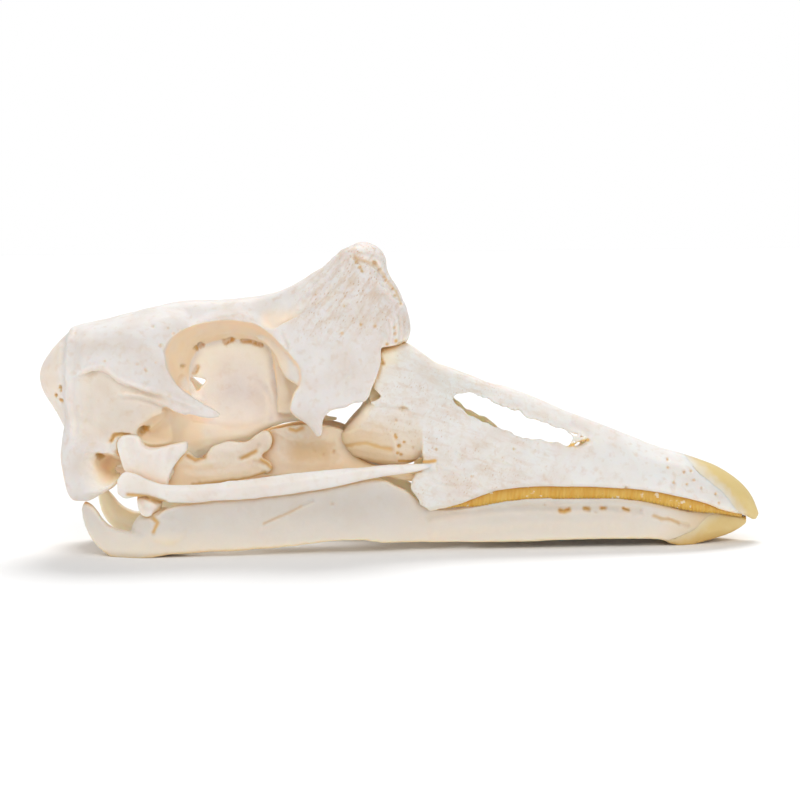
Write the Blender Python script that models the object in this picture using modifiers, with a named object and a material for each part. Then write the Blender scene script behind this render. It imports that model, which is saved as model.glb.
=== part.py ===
"""Chinese goose skull, bones and keratin caps as separate closed solids.

The bill points along +X, the bird's right side faces -Y and +Z is up.
Z = 0 is the surface that the lower jaw rests on.  Lengths in the tables
are millimetres, and MM turns them into metres.
"""
import math

import bmesh
import bpy
import numpy as np

MM = 0.001
NAME = "chinese_goose_skull"

# Sizes of the grid that merges the overlapping forms of one bone, in mm.
GRID_CRANIUM = 0.62
GRID_BILL = 0.62
GRID_JAW = 0.6
GRID_SMALL = 0.42

# Triangles left on each bone.
FACES = {
    "cranium": 3200,
    "upper_bill": 1900,
    "mandible": 1500,
    "quadrate": 300,
    "pterygoid": 180,
    "palatine": 220,
    "jugal": 160,
}

GAP = 0.35          # clear space between two bones, mm
SEPTUM_HALF = 0.8   # half the thickness of the wall between the eyes, mm
BILL_WALL = 1.7     # thickness of the bill's bony shell, mm

# Outlines and sections of the bones, read from front to back.

# Braincase: x, top z, bottom z, half width, z of the widest place,
# fullness above it and below it.
BRAINCASE = [
    (-80.2, 39.2, 37.0, 0.8, 38.2, 2.0, 2.0),
    (-79.6, 41.0, 35.6, 3.6, 38.2, 2.0, 2.0),
    (-78.4, 43.0, 33.4, 6.4, 38.4, 2.0, 2.0),
    (-76.5, 45.4, 30.4, 8.6, 38.4, 2.1, 2.0),
    (-74.6, 47.2, 26.4, 10.4, 38.4, 2.2, 2.1),
    (-73.0, 48.6, 23.5, 12.0, 38.4, 2.3, 2.3),
    (-72.2, 49.2, 22.0, 14.6, 38.4, 2.5, 2.3),
    (-71.0, 50.0, 19.8, 15.5, 38.2, 2.5, 2.4),
    (-66.0, 51.0, 17.8, 17.2, 37.4, 2.5, 2.4),
    (-62.0, 51.9, 17.6, 18.4, 37.0, 2.5, 2.3),
    (-58.0, 52.8, 18.2, 18.8, 37.4, 2.5, 2.2),
    (-54.0, 53.5, 19.6, 18.0, 38.4, 2.5, 2.2),
    (-50.0, 54.1, 21.6, 16.4, 40.0, 2.5, 2.2),
    (-46.0, 54.2, 24.5, 13.6, 41.0, 2.4, 2.0),
    (-42.0, 53.4, 29.0, 9.5, 41.5, 2.0, 2.0),
    (-39.5, 50.5, 34.0, 3.5, 42.0, 2.0, 2.0),
]

# Roof between the eyes: x, top z, half width, rim z, underside z.
ROOF = [
    (-58.0, 52.6, 16.6, 44.0, 41.0),
    (-54.0, 53.5, 16.2, 45.6, 43.0),
    (-50.0, 54.2, 14.6, 46.6, 45.0),
    (-46.0, 54.7, 12.2, 49.0, 46.0),
    (-42.0, 54.9, 10.6, 50.6, 46.0),
    (-38.0, 55.1, 9.8, 51.4, 46.0),
    (-34.0, 55.4, 9.8, 51.3, 46.0),
    (-30.0, 55.8, 10.6, 49.8, 44.8),
    (-26.0, 56.6, 12.2, 46.6, 42.5),
    (-22.0, 58.2, 13.0, 42.6, 40.0),
    (-17.0, 61.0, 12.9, 41.0, 39.0),
]

# Knob of the forehead, sliced level: z, rear x, front x, half width.
KNOB = [
    (40.0, -27.0, -4.3, 12.6),
    (43.9, -28.5, -4.0, 12.4),
    (44.9, -28.5, 1.3, 12.2),
    (46.8, -28.0, 2.6, 11.9),
    (48.8, -27.5, 2.8, 11.5),
    (51.3, -27.0, 2.4, 11.0),
    (53.9, -26.0, 1.5, 10.6),
    (56.4, -24.9, 0.5, 10.1),
    (58.4, -21.9, -0.6, 9.5),
    (60.4, -18.9, -1.9, 8.8),
    (62.2, -16.7, -2.5, 8.1),
    (63.8, -14.9, -2.4, 7.4),
    (65.3, -13.0, -3.2, 6.4),
    (66.5, -11.1, -4.3, 5.0),
    (67.3, -9.4, -5.5, 3.0),
    (67.65, -8.2, -6.7, 1.2),
]

# Plate in front of the eye, with its spike that points down.
LACRIMAL = [
    (-27.0, 49.0), (-24.5, 44.4), (-22.8, 42.2), (-21.7, 40.9),
    (-21.1, 38.6), (-21.8, 36.3), (-22.9, 35.2), (-23.8, 33.5),
    (-24.0, 31.4), (-23.5, 30.3), (-21.9, 29.1), (-20.6, 28.4),
    (-19.3, 27.1), (-18.3, 25.5), (-17.4, 25.1), (-16.7, 26.4),
    (-16.8, 28.1), (-16.2, 29.8), (-15.0, 30.9), (-13.1, 31.4),
    (-11.4, 31.5), (-10.6, 32.4), (-9.0, 32.6), (-7.4, 32.9),
    (-6.5, 33.6), (-6.2, 35.5), (-5.4, 36.8), (-4.9, 38.2),
    (-4.4, 39.8), (-3.9, 41.0), (-3.8, 44.0), (-4.5, 49.0),
    (-14.0, 54.0),
]

# Wall between the eyes, in the plane of symmetry.
SEPTUM = [
    (-48.0, 48.0), (-38.0, 49.0), (-24.0, 49.0), (-19.5, 44.0),
    (-18.8, 36.0), (-18.6, 28.6), (-22.9, 27.9), (-26.9, 27.3),
    (-29.6, 26.6), (-31.9, 25.4), (-33.7, 24.0), (-34.6, 23.2),
    (-37.3, 23.6), (-41.0, 22.0), (-48.0, 22.0),
]

# The eye's hollow at five distances from the plane of symmetry.
EYE_HOLLOW = [
    (SEPTUM_HALF, [
        (-46.6, 38.5), (-46.0, 41.6), (-43.8, 44.6), (-39.0, 46.0),
        (-34.8, 46.0), (-30.0, 45.0), (-27.6, 43.2), (-25.6, 40.0),
        (-24.6, 36.0), (-24.2, 31.0), (-24.2, 24.0), (-30.0, 17.0),
        (-38.0, 16.0), (-43.0, 19.0), (-45.4, 25.5), (-46.6, 33.0)]),
    (4.0, [
        (-47.6, 38.5), (-47.2, 42.0), (-44.8, 45.6), (-40.0, 47.3),
        (-35.0, 47.5), (-30.0, 46.3), (-26.8, 43.8), (-24.8, 40.2),
        (-24.2, 36.0), (-24.0, 31.0), (-24.0, 24.0), (-30.0, 15.5),
        (-39.0, 15.0), (-45.6, 19.5), (-47.8, 26.0), (-48.4, 33.0)]),
    (8.5, [
        (-49.0, 38.5), (-49.4, 43.0), (-47.0, 47.2), (-42.5, 49.8),
        (-36.8, 50.6), (-31.0, 49.4), (-27.0, 46.0), (-24.0, 42.0),
        (-22.4, 38.4), (-22.9, 34.6), (-23.8, 29.5), (-30.0, 14.0),
        (-41.0, 13.0), (-48.0, 18.0), (-50.0, 26.0), (-49.8, 33.0)]),
    (12.5, [
        (-49.2, 38.0), (-50.4, 43.6), (-48.2, 47.9), (-43.3, 50.6),
        (-36.8, 51.5), (-30.7, 50.0), (-26.4, 46.6), (-22.8, 42.2),
        (-21.1, 38.2), (-22.9, 35.2), (-24.0, 31.0), (-30.0, 12.0),
        (-42.0, 11.0), (-49.0, 16.0), (-51.5, 26.0), (-50.6, 33.0)]),
    (23.0, [
        (-50.4, 38.0), (-51.6, 44.4), (-49.0, 49.4), (-43.8, 52.6),
        (-36.8, 53.6), (-30.0, 52.0), (-25.0, 47.6), (-21.2, 42.8),
        (-19.6, 38.2), (-21.9, 34.8), (-23.4, 30.6), (-30.0, 12.0),
        (-42.0, 11.0), (-50.0, 16.0), (-52.5, 26.0), (-51.6, 33.0)]),
]

# Spike behind the eye.
POSTORBITAL = [
    (-52.0, 46.0), (-50.4, 43.8), (-50.3, 41.6), (-49.6, 39.9),
    (-48.4, 37.7), (-46.9, 36.2), (-45.4, 35.1), (-43.3, 33.6),
    (-40.1, 31.8), (-38.5, 30.8), (-38.6, 30.3), (-40.1, 29.9),
    (-42.2, 30.1), (-44.4, 30.8), (-46.6, 31.3), (-48.7, 32.0),
    (-50.2, 32.9), (-51.9, 34.2), (-54.1, 35.0), (-56.2, 35.9),
    (-59.5, 36.4), (-62.0, 39.0), (-58.0, 44.0),
]

# Pocket of the jaw muscle under that spike, from the skin inwards.
TEMPLE_POCKET = [
    (19.0, [
        (-58.2, 27.5), (-54.7, 30.5), (-49.9, 32.1), (-45.2, 31.7),
        (-43.1, 27.8), (-44.9, 23.5), (-50.5, 22.2), (-55.7, 23.8)]),
    (16.0, [
        (-57.2, 27.0), (-54.2, 29.8), (-50.0, 31.5), (-45.0, 31.2),
        (-42.9, 27.5), (-45.6, 23.1), (-51.0, 22.8), (-55.3, 24.3)]),
    (12.5, [
        (-56.2, 26.4), (-53.7, 28.3), (-50.4, 30.5), (-45.8, 30.7),
        (-42.8, 27.1), (-46.0, 23.2), (-52.1, 23.7), (-55.1, 24.8)]),
    (10.0, [
        (-54.7, 26.3), (-52.5, 28.1), (-50.0, 29.4), (-46.5, 29.6),
        (-44.4, 26.9), (-47.1, 24.1), (-51.9, 24.5)]),
    (8.8, [
        (-53.3, 26.2), (-51.5, 27.3), (-49.7, 27.9), (-48.0, 27.9),
        (-46.7, 26.6), (-48.9, 25.3), (-51.6, 25.3)]),
]

# Scoop of the ear: gentle behind and below, steep above and in front.
EAR_SCOOP = [
    (19.0, [
        (-70.8, 22.6), (-67.7, 24.5), (-63.8, 24.1), (-60.0, 23.2),
        (-57.0, 20.1), (-56.7, 14.5), (-62.3, 12.8), (-67.5, 13.3),
        (-70.5, 16.3)]),
    (16.8, [
        (-69.8, 21.3), (-67.2, 23.0), (-64.8, 22.5), (-62.2, 22.5),
        (-60.1, 21.8), (-58.4, 19.4), (-58.0, 15.1), (-61.7, 14.0),
        (-65.6, 13.6), (-68.6, 15.2), (-70.1, 18.2)]),
    (15.8, [
        (-68.2, 20.7), (-66.5, 22.4), (-64.3, 22.4), (-61.9, 22.2),
        (-60.0, 21.5), (-58.5, 19.3), (-58.4, 16.0), (-62.1, 15.2),
        (-65.5, 15.0), (-67.9, 16.8)]),
    (14.2, [
        (-66.3, 20.5), (-65.0, 21.8), (-63.4, 21.8), (-61.5, 21.6),
        (-60.0, 21.1), (-58.9, 19.1), (-59.0, 16.9), (-62.2, 16.5),
        (-65.1, 17.4)]),
    (12.0, [
        (-65.1, 20.3), (-64.0, 21.1), (-62.7, 21.1), (-61.4, 20.9),
        (-60.0, 20.4), (-59.4, 19.1), (-59.9, 17.6), (-62.5, 17.4),
        (-64.5, 18.5)]),
    (9.6, [
        (-64.1, 19.8), (-63.2, 20.4), (-61.9, 20.4), (-60.8, 20.0),
        (-60.4, 19.1), (-61.1, 18.2), (-62.6, 18.2), (-63.7, 18.9)]),
]

# Wing behind the ear, sliced level: z, rear x, front x, inner y, outer y.
EAR_WING = [
    (12.0, -71.2, -67.8, 12.8, 15.0),
    (13.2, -72.2, -65.4, 11.6, 15.9),
    (15.2, -72.9, -62.2, 10.2, 16.4),
    (18.3, -73.6, -60.6, 8.6, 16.8),
    (21.6, -74.1, -60.3, 7.2, 17.0),
    (25.9, -73.6, -60.4, 5.4, 16.8),
    (29.5, -73.1, -61.6, 3.6, 15.8),
    (33.0, -72.4, -63.6, 2.6, 14.4),
]

# Bill: x, top z, half width of the ridge, half width at mid height,
# half width at the cutting edge, z of the cutting edge.
BILL = [
    (-9.0, 44.0, 8.6, 12.0, 12.4, 8.0),
    (-4.0, 44.2, 8.6, 12.0, 12.7, 8.0),
    (0.0, 44.7, 8.2, 11.9, 12.9, 8.0),
    (4.1, 43.4, 7.6, 11.8, 13.0, 8.2),
    (8.0, 40.6, 6.8, 11.6, 13.0, 9.0),
    (11.2, 39.5, 6.1, 11.4, 12.9, 9.6),
    (15.7, 37.7, 5.3, 11.1, 12.6, 11.2),
    (20.2, 35.9, 4.8, 10.8, 12.3, 12.8),
    (24.6, 34.8, 4.6, 10.6, 12.1, 13.5),
    (31.3, 32.2, 4.4, 10.2, 11.8, 13.8),
    (39.0, 28.8, 4.3, 9.9, 11.5, 13.6),
    (44.8, 26.6, 4.2, 9.8, 11.3, 13.4),
    (52.0, 23.7, 4.2, 9.7, 11.2, 12.9),
    (58.2, 21.1, 4.3, 9.6, 11.0, 11.9),
    (63.1, 19.7, 4.4, 9.3, 10.7, 10.8),
    (67.2, 18.3, 4.3, 8.7, 10.0, 9.6),
    (71.0, 16.8, 3.9, 7.6, 8.8, 8.0),
    (74.0, 15.0, 3.2, 6.0, 7.0, 7.0),
    (76.3, 13.2, 2.5, 4.5, 5.2, 6.3),
    (78.0, 11.4, 1.8, 3.1, 3.5, 5.4),
    (79.3, 9.4, 1.1, 1.9, 2.1, 4.6),
    (80.2, 7.2, 0.5, 0.9, 1.0, 5.0),
    (80.55, 6.2, 0.2, 0.3, 0.3, 5.6),
]

# What is open behind the bill: its free rear edge from top to bottom.
BILL_REAR = [
    (-30.0, 60.0), (-3.7, 60.0), (-3.6, 44.0), (-3.6, 40.7),
    (-4.3, 39.6), (-5.0, 38.0), (-5.1, 35.8), (-4.2, 35.3),
    (-3.8, 34.3), (-4.0, 33.5), (-5.5, 33.0), (-6.8, 32.6),
    (-4.0, 32.2), (0.0, 32.0), (2.2, 30.9), (3.3, 29.0),
    (4.3, 27.0), (4.6, 25.4), (5.2, 22.6), (5.2, 20.6),
    (7.5, 19.6), (6.9, 18.2), (5.2, 17.8), (3.8, 17.2),
    (3.2, 16.1), (2.0, 14.4), (2.6, 13.2), (3.6, 11.4),
    (4.9, 10.1), (6.3, 9.3), (6.5, 5.0), (-30.0, 5.0),
]

# Thin bulb inside the bill's root, and how large its outline is at each
# distance from the plane of symmetry.
CONCHA = [
    (-12.8, 24.7), (-11.9, 26.7), (-10.4, 28.5), (-8.8, 30.2),
    (-7.5, 32.0), (-5.7, 32.8), (-3.5, 33.2), (-0.4, 32.6),
    (2.2, 30.3), (4.3, 26.3), (5.2, 21.9), (3.2, 19.3), (-1.0, 18.6),
    (-5.6, 19.1), (-9.6, 20.5), (-11.8, 22.3),
]
CONCHA_DOME = [
    (3.5, 0.86), (5.5, 0.97), (8.0, 1.0), (10.0, 0.9),
    (11.2, 0.66), (11.8, 0.3),
]

NOSTRIL = [
    (12.2, 32.9), (12.8, 33.6), (14.4, 33.8), (16.1, 33.8),
    (17.7, 33.2), (19.9, 32.3), (24.3, 30.7), (28.7, 28.7),
    (33.1, 27.1), (37.1, 25.7), (40.4, 24.2), (42.0, 23.2),
    (40.6, 22.7), (38.6, 22.6), (34.2, 23.3), (29.8, 23.9),
    (25.4, 25.3), (21.4, 27.0), (17.2, 28.8), (15.2, 29.9),
    (13.7, 31.4),
]

# Rear edge of the keratin nail on the bill, top to bottom.
NAIL_EDGE = [
    (61.8, 24.0), (62.7, 20.5), (64.0, 18.5), (65.5, 16.7),
    (67.3, 14.9), (68.9, 13.4), (70.4, 12.2), (71.5, 11.0),
    (72.4, 9.9), (73.5, 8.2), (75.1, 6.4), (75.6, 2.0),
]

# Rear edge of the keratin nail on the lower jaw, bottom to top.
JAW_NAIL_EDGE = [
    (57.6, -2.0), (58.6, 0.8), (61.8, 2.0), (65.1, 3.7),
    (66.3, 5.3), (68.0, 6.6), (69.9, 7.3), (71.0, 9.5),
]

# One half of the lower jaw, seen from the side.
JAW_SIDE = [
    (-69.6, 10.2), (-69.3, 11.4), (-68.3, 11.6), (-67.0, 10.6),
    (-65.7, 8.9), (-64.4, 7.4), (-62.6, 6.1), (-60.1, 5.6),
    (-57.8, 5.3), (-55.4, 5.1), (-54.0, 5.8), (-53.4, 7.6),
    (-52.6, 8.9), (-51.1, 10.1), (-48.3, 11.2), (-42.0, 11.9),
    (-32.9, 12.6), (-22.0, 13.6), (-13.3, 14.9), (-7.0, 15.9),
    (-3.4, 15.8), (-1.3, 14.5), (0.9, 13.5), (3.2, 12.0),
    (6.5, 9.6), (10.7, 8.8), (17.3, 9.8), (21.7, 10.3),
    (26.2, 10.8), (35.0, 11.1), (43.7, 11.1), (52.6, 10.5),
    (59.2, 9.1), (62.6, 8.1), (66.0, 7.7), (70.6, 7.2),
    (75.6, 5.9), (78.1, 5.0), (77.8, 4.0), (76.0, 2.8),
    (73.6, 1.8), (70.1, 0.9), (66.6, 0.2), (63.3, -0.4),
    (60.1, 0.3), (58.5, 1.0), (56.1, 1.6), (48.3, 1.7),
    (30.5, 1.6), (12.9, 1.5), (-0.3, 1.8), (-4.7, 2.0),
    (-7.9, 2.6), (-14.5, 2.7), (-17.8, 2.4), (-26.5, 1.6),
    (-39.5, 0.9), (-50.3, 0.5), (-54.6, -0.3), (-56.8, -0.6),
    (-60.2, -0.7), (-62.6, -0.3), (-64.2, 0.6), (-65.8, 1.7),
    (-67.1, 3.2), (-68.5, 5.5), (-69.2, 7.7),
]

# Distance of a jaw half's middle from the plane of symmetry, by x.
JAW_BEND = [
    (-70.0, 12.6), (-66.0, 13.4), (-61.0, 15.0), (-56.0, 16.6),
    (-51.0, 16.6), (-44.0, 15.8), (-33.0, 14.6), (-20.0, 13.7),
    (-10.0, 12.9), (-3.0, 11.6), (3.0, 10.0), (8.0, 9.5),
    (20.0, 9.2), (32.0, 8.8), (44.0, 8.3), (54.0, 8.0),
    (60.0, 7.4), (65.0, 6.3), (70.0, 4.6), (74.0, 2.9),
    (77.0, 1.3), (79.0, 0.5),
]

# Its thickness, by x.
JAW_WALL = [
    (-70.0, 2.6), (-66.0, 3.0), (-60.0, 3.6), (-54.0, 3.6),
    (-48.0, 3.0), (-33.0, 2.6), (-5.0, 2.4), (8.0, 2.4),
    (40.0, 2.4), (60.0, 2.4), (79.0, 2.2),
]

QUADRATE = [
    (-61.0, 25.6), (-61.2, 23.6), (-60.6, 21.8), (-60.0, 19.8),
    (-59.2, 17.6), (-58.4, 15.4), (-57.3, 12.4), (-57.0, 10.4),
    (-56.6, 8.6), (-55.6, 7.1), (-53.9, 6.9), (-52.9, 9.4),
    (-51.3, 11.4), (-50.4, 15.0), (-49.9, 17.7), (-49.0, 19.6),
    (-47.7, 21.3), (-46.3, 22.8), (-46.3, 24.6), (-47.6, 24.5),
    (-50.9, 23.9), (-53.1, 23.6), (-54.8, 23.8), (-55.9, 24.7),
    (-56.6, 26.2), (-58.9, 26.6),
]

PTERYGOID = [
    (-51.5, 14.2), (-51.2, 16.5), (-50.1, 18.4), (-48.3, 20.7),
    (-46.7, 22.2), (-45.2, 20.8), (-43.4, 20.6), (-42.1, 21.9),
    (-41.2, 23.0), (-39.6, 23.7), (-37.9, 24.0), (-33.9, 23.8),
    (-31.9, 25.2), (-30.1, 26.3), (-28.8, 26.0), (-28.1, 24.7),
    (-28.4, 22.9), (-29.3, 21.6), (-30.6, 20.9), (-30.2, 20.0),
    (-28.9, 19.6), (-28.2, 18.5), (-28.5, 17.3), (-30.7, 16.5),
    (-34.7, 15.6), (-39.1, 15.0), (-45.3, 14.2),
]

PALATINE = [
    (-30.6, 23.3), (-30.2, 25.0), (-29.1, 25.9), (-27.3, 26.5),
    (-23.3, 27.2), (-19.1, 27.5), (-16.4, 27.4), (-13.8, 26.9),
    (-12.0, 26.0), (-10.9, 24.6), (-10.5, 22.6), (-9.4, 20.6),
    (-7.2, 19.3), (-3.7, 18.1), (-0.1, 17.2), (4.3, 16.5),
    (6.5, 15.6), (6.0, 14.7), (-0.2, 15.4), (-4.6, 16.3),
    (-11.2, 17.3), (-17.9, 16.9), (-23.4, 16.3), (-28.5, 16.1),
    (-30.7, 17.0), (-31.1, 20.2),
]

# Cheek bar: x, y, z, half its height.
JUGAL = [
    (-60.9, -18.5, 15.6, 1.5), (-59.4, -18.6, 15.9, 2.9),
    (-57.0, -18.6, 15.8, 2.6), (-54.2, -18.5, 15.1, 2.0),
    (-50.8, -18.4, 14.1, 2.0), (-45.6, -18.1, 13.8, 2.0),
    (-39.2, -17.7, 14.2, 2.0), (-32.7, -17.2, 14.6, 2.2),
    (-21.9, -16.3, 15.8, 2.3), (-15.4, -15.6, 16.5, 2.1),
    (-9.0, -14.8, 17.3, 1.6), (-3.0, -14.0, 18.0, 1.2),
    (1.8, -13.2, 18.3, 0.9),
]


# Ways of making and joining forms.

def smooth_line(points, count, closed=False):
    """Evenly spaced points along a smooth line through the given ones."""
    p = np.array(points, float)
    n = len(p)
    fine = []
    for i in range(n if closed else n - 1):
        a = p[(i - 1) % n] if closed else p[max(i - 1, 0)]
        b = p[i]
        c = p[(i + 1) % n]
        d = p[(i + 2) % n] if closed else p[min(i + 2, n - 1)]
        for t in np.linspace(0.0, 1.0, 8, endpoint=False):
            fine.append(0.5 * (2 * b + (c - a) * t
                               + (2 * a - 5 * b + 4 * c - d) * t * t
                               + (3 * b - a - 3 * c + d) * t ** 3))
    fine.append(p[0] if closed else p[-1])
    fine = np.array(fine)
    steps = np.linalg.norm(np.diff(fine, axis=0), axis=1)
    along = np.concatenate([[0.0], np.cumsum(steps)])
    want = np.linspace(0.0, along[-1], count, endpoint=not closed)
    return np.stack([np.interp(want, along, fine[:, k])
                     for k in range(p.shape[1])], axis=1)


def by_x(table, x):
    """Value of a two-column table at x, without corners at its rows."""
    rows = np.array(table, float)
    slope = np.gradient(rows[:, 1], rows[:, 0])
    x = np.clip(x, rows[0, 0], rows[-1, 0])
    i = np.clip(np.searchsorted(rows[:, 0], x) - 1, 0, len(rows) - 2)
    h = rows[i + 1, 0] - rows[i, 0]
    t = (x - rows[i, 0]) / h
    return ((2 * t ** 3 - 3 * t ** 2 + 1) * rows[i, 1]
            + (t ** 3 - 2 * t ** 2 + t) * h * slope[i]
            + (3 * t ** 2 - 2 * t ** 3) * rows[i + 1, 1]
            + (t ** 3 - t ** 2) * h * slope[i + 1])


def add_mesh(name, verts, faces):
    """Object from points in mm, with its faces turned outwards."""
    mesh = bpy.data.meshes.new(name)
    mesh.from_pydata([tuple(v * MM for v in p) for p in verts], [], faces)
    bm = bmesh.new()
    bm.from_mesh(mesh)
    bmesh.ops.recalc_face_normals(bm, faces=bm.faces)
    bm.to_mesh(mesh)
    bm.free()
    ob = bpy.data.objects.new(name, mesh)
    bpy.context.scene.collection.objects.link(ob)
    return ob


def loft(name, rings):
    """Closed skin over a row of rings that all have the same count."""
    rings = np.array(rings, float)
    m, n = rings.shape[:2]
    faces = [tuple(reversed(range(n)))]
    for i in range(m - 1):
        for j in range(n):
            k = (j + 1) % n
            faces.append((i * n + j, i * n + k,
                          (i + 1) * n + k, (i + 1) * n + j))
    faces.append(tuple((m - 1) * n + j for j in range(n)))
    return add_mesh(name, rings.reshape(-1, 3), faces)


def ring_from_half(x, half):
    """Whole section at x from a half one that runs from top to bottom."""
    half = np.array(half, float)
    left = [(x, y, z) for y, z in half]
    right = [(x, -y, z) for y, z in half[-2:0:-1]]
    return left + right


def as_mesh(ob):
    """Plain mesh object in the place of a curve object."""
    graph = bpy.context.evaluated_depsgraph_get()
    mesh = bpy.data.meshes.new_from_object(ob.evaluated_get(graph))
    new = bpy.data.objects.new(ob.name, mesh)
    bpy.context.scene.collection.objects.link(new)
    new.matrix_world = ob.matrix_world
    bpy.data.objects.remove(ob)
    bm = bmesh.new()
    bm.from_mesh(mesh)
    bmesh.ops.remove_doubles(bm, verts=bm.verts, dist=0.00002)
    bmesh.ops.recalc_face_normals(bm, faces=bm.faces)
    bm.to_mesh(mesh)
    bm.free()
    return new


def plate(name, outline, y_from, y_to, count=None, flat="xz"):
    """Flat slab with the outline in X and Z, or in X and Y."""
    points = outline if count is None else smooth_line(outline, count, True)
    curve = bpy.data.curves.new(name, "CURVE")
    curve.dimensions = "2D"
    curve.fill_mode = "BOTH"
    curve.extrude = abs(y_to - y_from) / 2 * MM
    spline = curve.splines.new("POLY")
    spline.points.add(len(points) - 1)
    for point, (a, b) in zip(spline.points, points):
        point.co = (a * MM, b * MM, 0.0, 1.0)
    spline.use_cyclic_u = True
    ob = bpy.data.objects.new(name, curve)
    bpy.context.scene.collection.objects.link(ob)
    middle = (y_from + y_to) / 2 * MM
    if flat == "xz":
        ob.rotation_euler = (math.radians(90), 0, 0)
        ob.location = (0, middle, 0)
    else:
        ob.location = (0, 0, middle)
    bpy.context.view_layer.update()
    return bake_place(as_mesh(ob))


def bar(name, points, sides=2):
    """Round tapering bar; each point is x, y, z and a radius."""
    curve = bpy.data.curves.new(name, "CURVE")
    curve.dimensions = "3D"
    curve.bevel_depth = MM
    curve.bevel_resolution = sides
    curve.use_fill_caps = True
    spline = curve.splines.new("POLY")
    spline.points.add(len(points) - 1)
    for point, (x, y, z, r) in zip(spline.points, points):
        point.co = (x * MM, y * MM, z * MM, 1.0)
        point.radius = r
    ob = bpy.data.objects.new(name, curve)
    bpy.context.scene.collection.objects.link(ob)
    bpy.context.view_layer.update()
    return as_mesh(ob)


def ball(name, place, radii, turn=(0, 0, 0)):
    """Stretched sphere, turned by degrees about X, Y and Z."""
    bpy.ops.mesh.primitive_uv_sphere_add(
        segments=32, ring_count=18, radius=1.0,
        location=[v * MM for v in place],
        rotation=[math.radians(v) for v in turn])
    ob = bpy.context.object
    ob.name = name
    ob.scale = [v * MM for v in radii]
    bpy.context.view_layer.update()
    return bake_place(ob)


def bake_place(ob):
    """Put an object's place, turn and size into its mesh."""
    ob.data.transform(ob.matrix_world)
    if ob.matrix_world.determinant() < 0:
        ob.data.flip_normals()
    ob.matrix_world.identity()
    return ob


def warp(ob, move):
    """Move every point, in mm, by a function of arrays x, y and z."""
    n = len(ob.data.vertices)
    co = np.empty(n * 3, dtype=np.float32)
    ob.data.vertices.foreach_get("co", co)
    p = co.reshape(n, 3).astype(float) / MM
    p = np.stack(move(p[:, 0], p[:, 1], p[:, 2]), axis=1)
    ob.data.vertices.foreach_set("co", (p * MM).astype(np.float32).ravel())
    ob.data.update()
    return ob


def finish(ob, kind, **settings):
    """Add a modifier and make its result the object's mesh."""
    mod = ob.modifiers.new(kind.lower(), kind)
    for key, value in settings.items():
        setattr(mod, key, value)
    bpy.context.view_layer.update()
    graph = bpy.context.evaluated_depsgraph_get()
    mesh = bpy.data.meshes.new_from_object(ob.evaluated_get(graph))
    ob.modifiers.clear()
    ob.data = mesh
    return ob


def joined(name, parts):
    """One object that holds the meshes of all the given ones."""
    bm = bmesh.new()
    for part in parts:
        bm.from_mesh(part.data)
        bpy.data.objects.remove(part)
    mesh = bpy.data.meshes.new(name)
    bm.to_mesh(mesh)
    bm.free()
    ob = bpy.data.objects.new(name, mesh)
    bpy.context.scene.collection.objects.link(ob)
    return ob


def copied(ob, name, mirror=False):
    """Copy with its own mesh, on the other side if mirrored."""
    new = bpy.data.objects.new(name, ob.data.copy())
    bpy.context.scene.collection.objects.link(new)
    if mirror:
        warp(new, lambda x, y, z: (x, -y, z))
        new.data.flip_normals()
    return new


def with_mirror(ob):
    """The object and its mirror image in one object."""
    return joined(ob.name, [copied(ob, ob.name + "_m", True), ob])


def fused(ob, grid):
    """Overlapping closed forms made into one skin."""
    return finish(ob, "REMESH", mode="VOXEL", voxel_size=grid * MM)


def eased(ob, rounds, strength=0.5):
    return finish(ob, "SMOOTH", factor=strength, iterations=rounds)


def cut(ob, cutters, operation="DIFFERENCE"):
    """Boolean with each cutter in turn; the cutters go away."""
    for tool in cutters:
        finish(ob, "BOOLEAN", object=tool, operation=operation,
               solver="EXACT")
        bpy.data.objects.remove(tool)
    return ob


def cleared(ob, neighbours, room=GAP):
    """Cut room for each neighbour, so that the bones only just part."""
    for other in neighbours:
        tool = copied(other, "room")
        finish(tool, "DISPLACE", strength=room * MM, mid_level=0.0)
        cut(ob, [tool])
    return biggest(ob)


def thinned(ob, count):
    """Fewer triangles, about as many as count."""
    ob = finish(ob, "TRIANGULATE")
    ratio = min(1.0, count / max(1, len(ob.data.polygons)))
    return finish(ob, "DECIMATE", ratio=ratio)


def biggest(ob):
    """Keep only the largest connected piece of a mesh."""
    bm = bmesh.new()
    bm.from_mesh(ob.data)
    left = set(bm.verts)
    groups = []
    while left:
        seed = left.pop()
        group = [seed]
        queue = [seed]
        while queue:
            for edge in queue.pop().link_edges:
                for v in edge.verts:
                    if v in left:
                        left.remove(v)
                        group.append(v)
                        queue.append(v)
        groups.append(group)
    groups.sort(key=len)
    loose = [v for group in groups[:-1] for v in group]
    bmesh.ops.delete(bm, geom=loose, context="VERTS")
    bm.to_mesh(ob.data)
    bm.free()
    return ob


def trimmed_flat(ob, height=0.0):
    """Cut everything below a level plane and close it with a flat face."""
    bm = bmesh.new()
    bm.from_mesh(ob.data)
    geom = bm.verts[:] + bm.edges[:] + bm.faces[:]
    bmesh.ops.bisect_plane(bm, geom=geom, dist=1e-7,
                           plane_co=(0, 0, height * MM),
                           plane_no=(0, 0, -1), clear_outer=True)
    edges = [e for e in bm.edges if e.is_boundary]
    bmesh.ops.holes_fill(bm, edges=edges, sides=0)
    bmesh.ops.recalc_face_normals(bm, faces=bm.faces)
    bm.to_mesh(ob.data)
    bm.free()
    return ob


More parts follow.
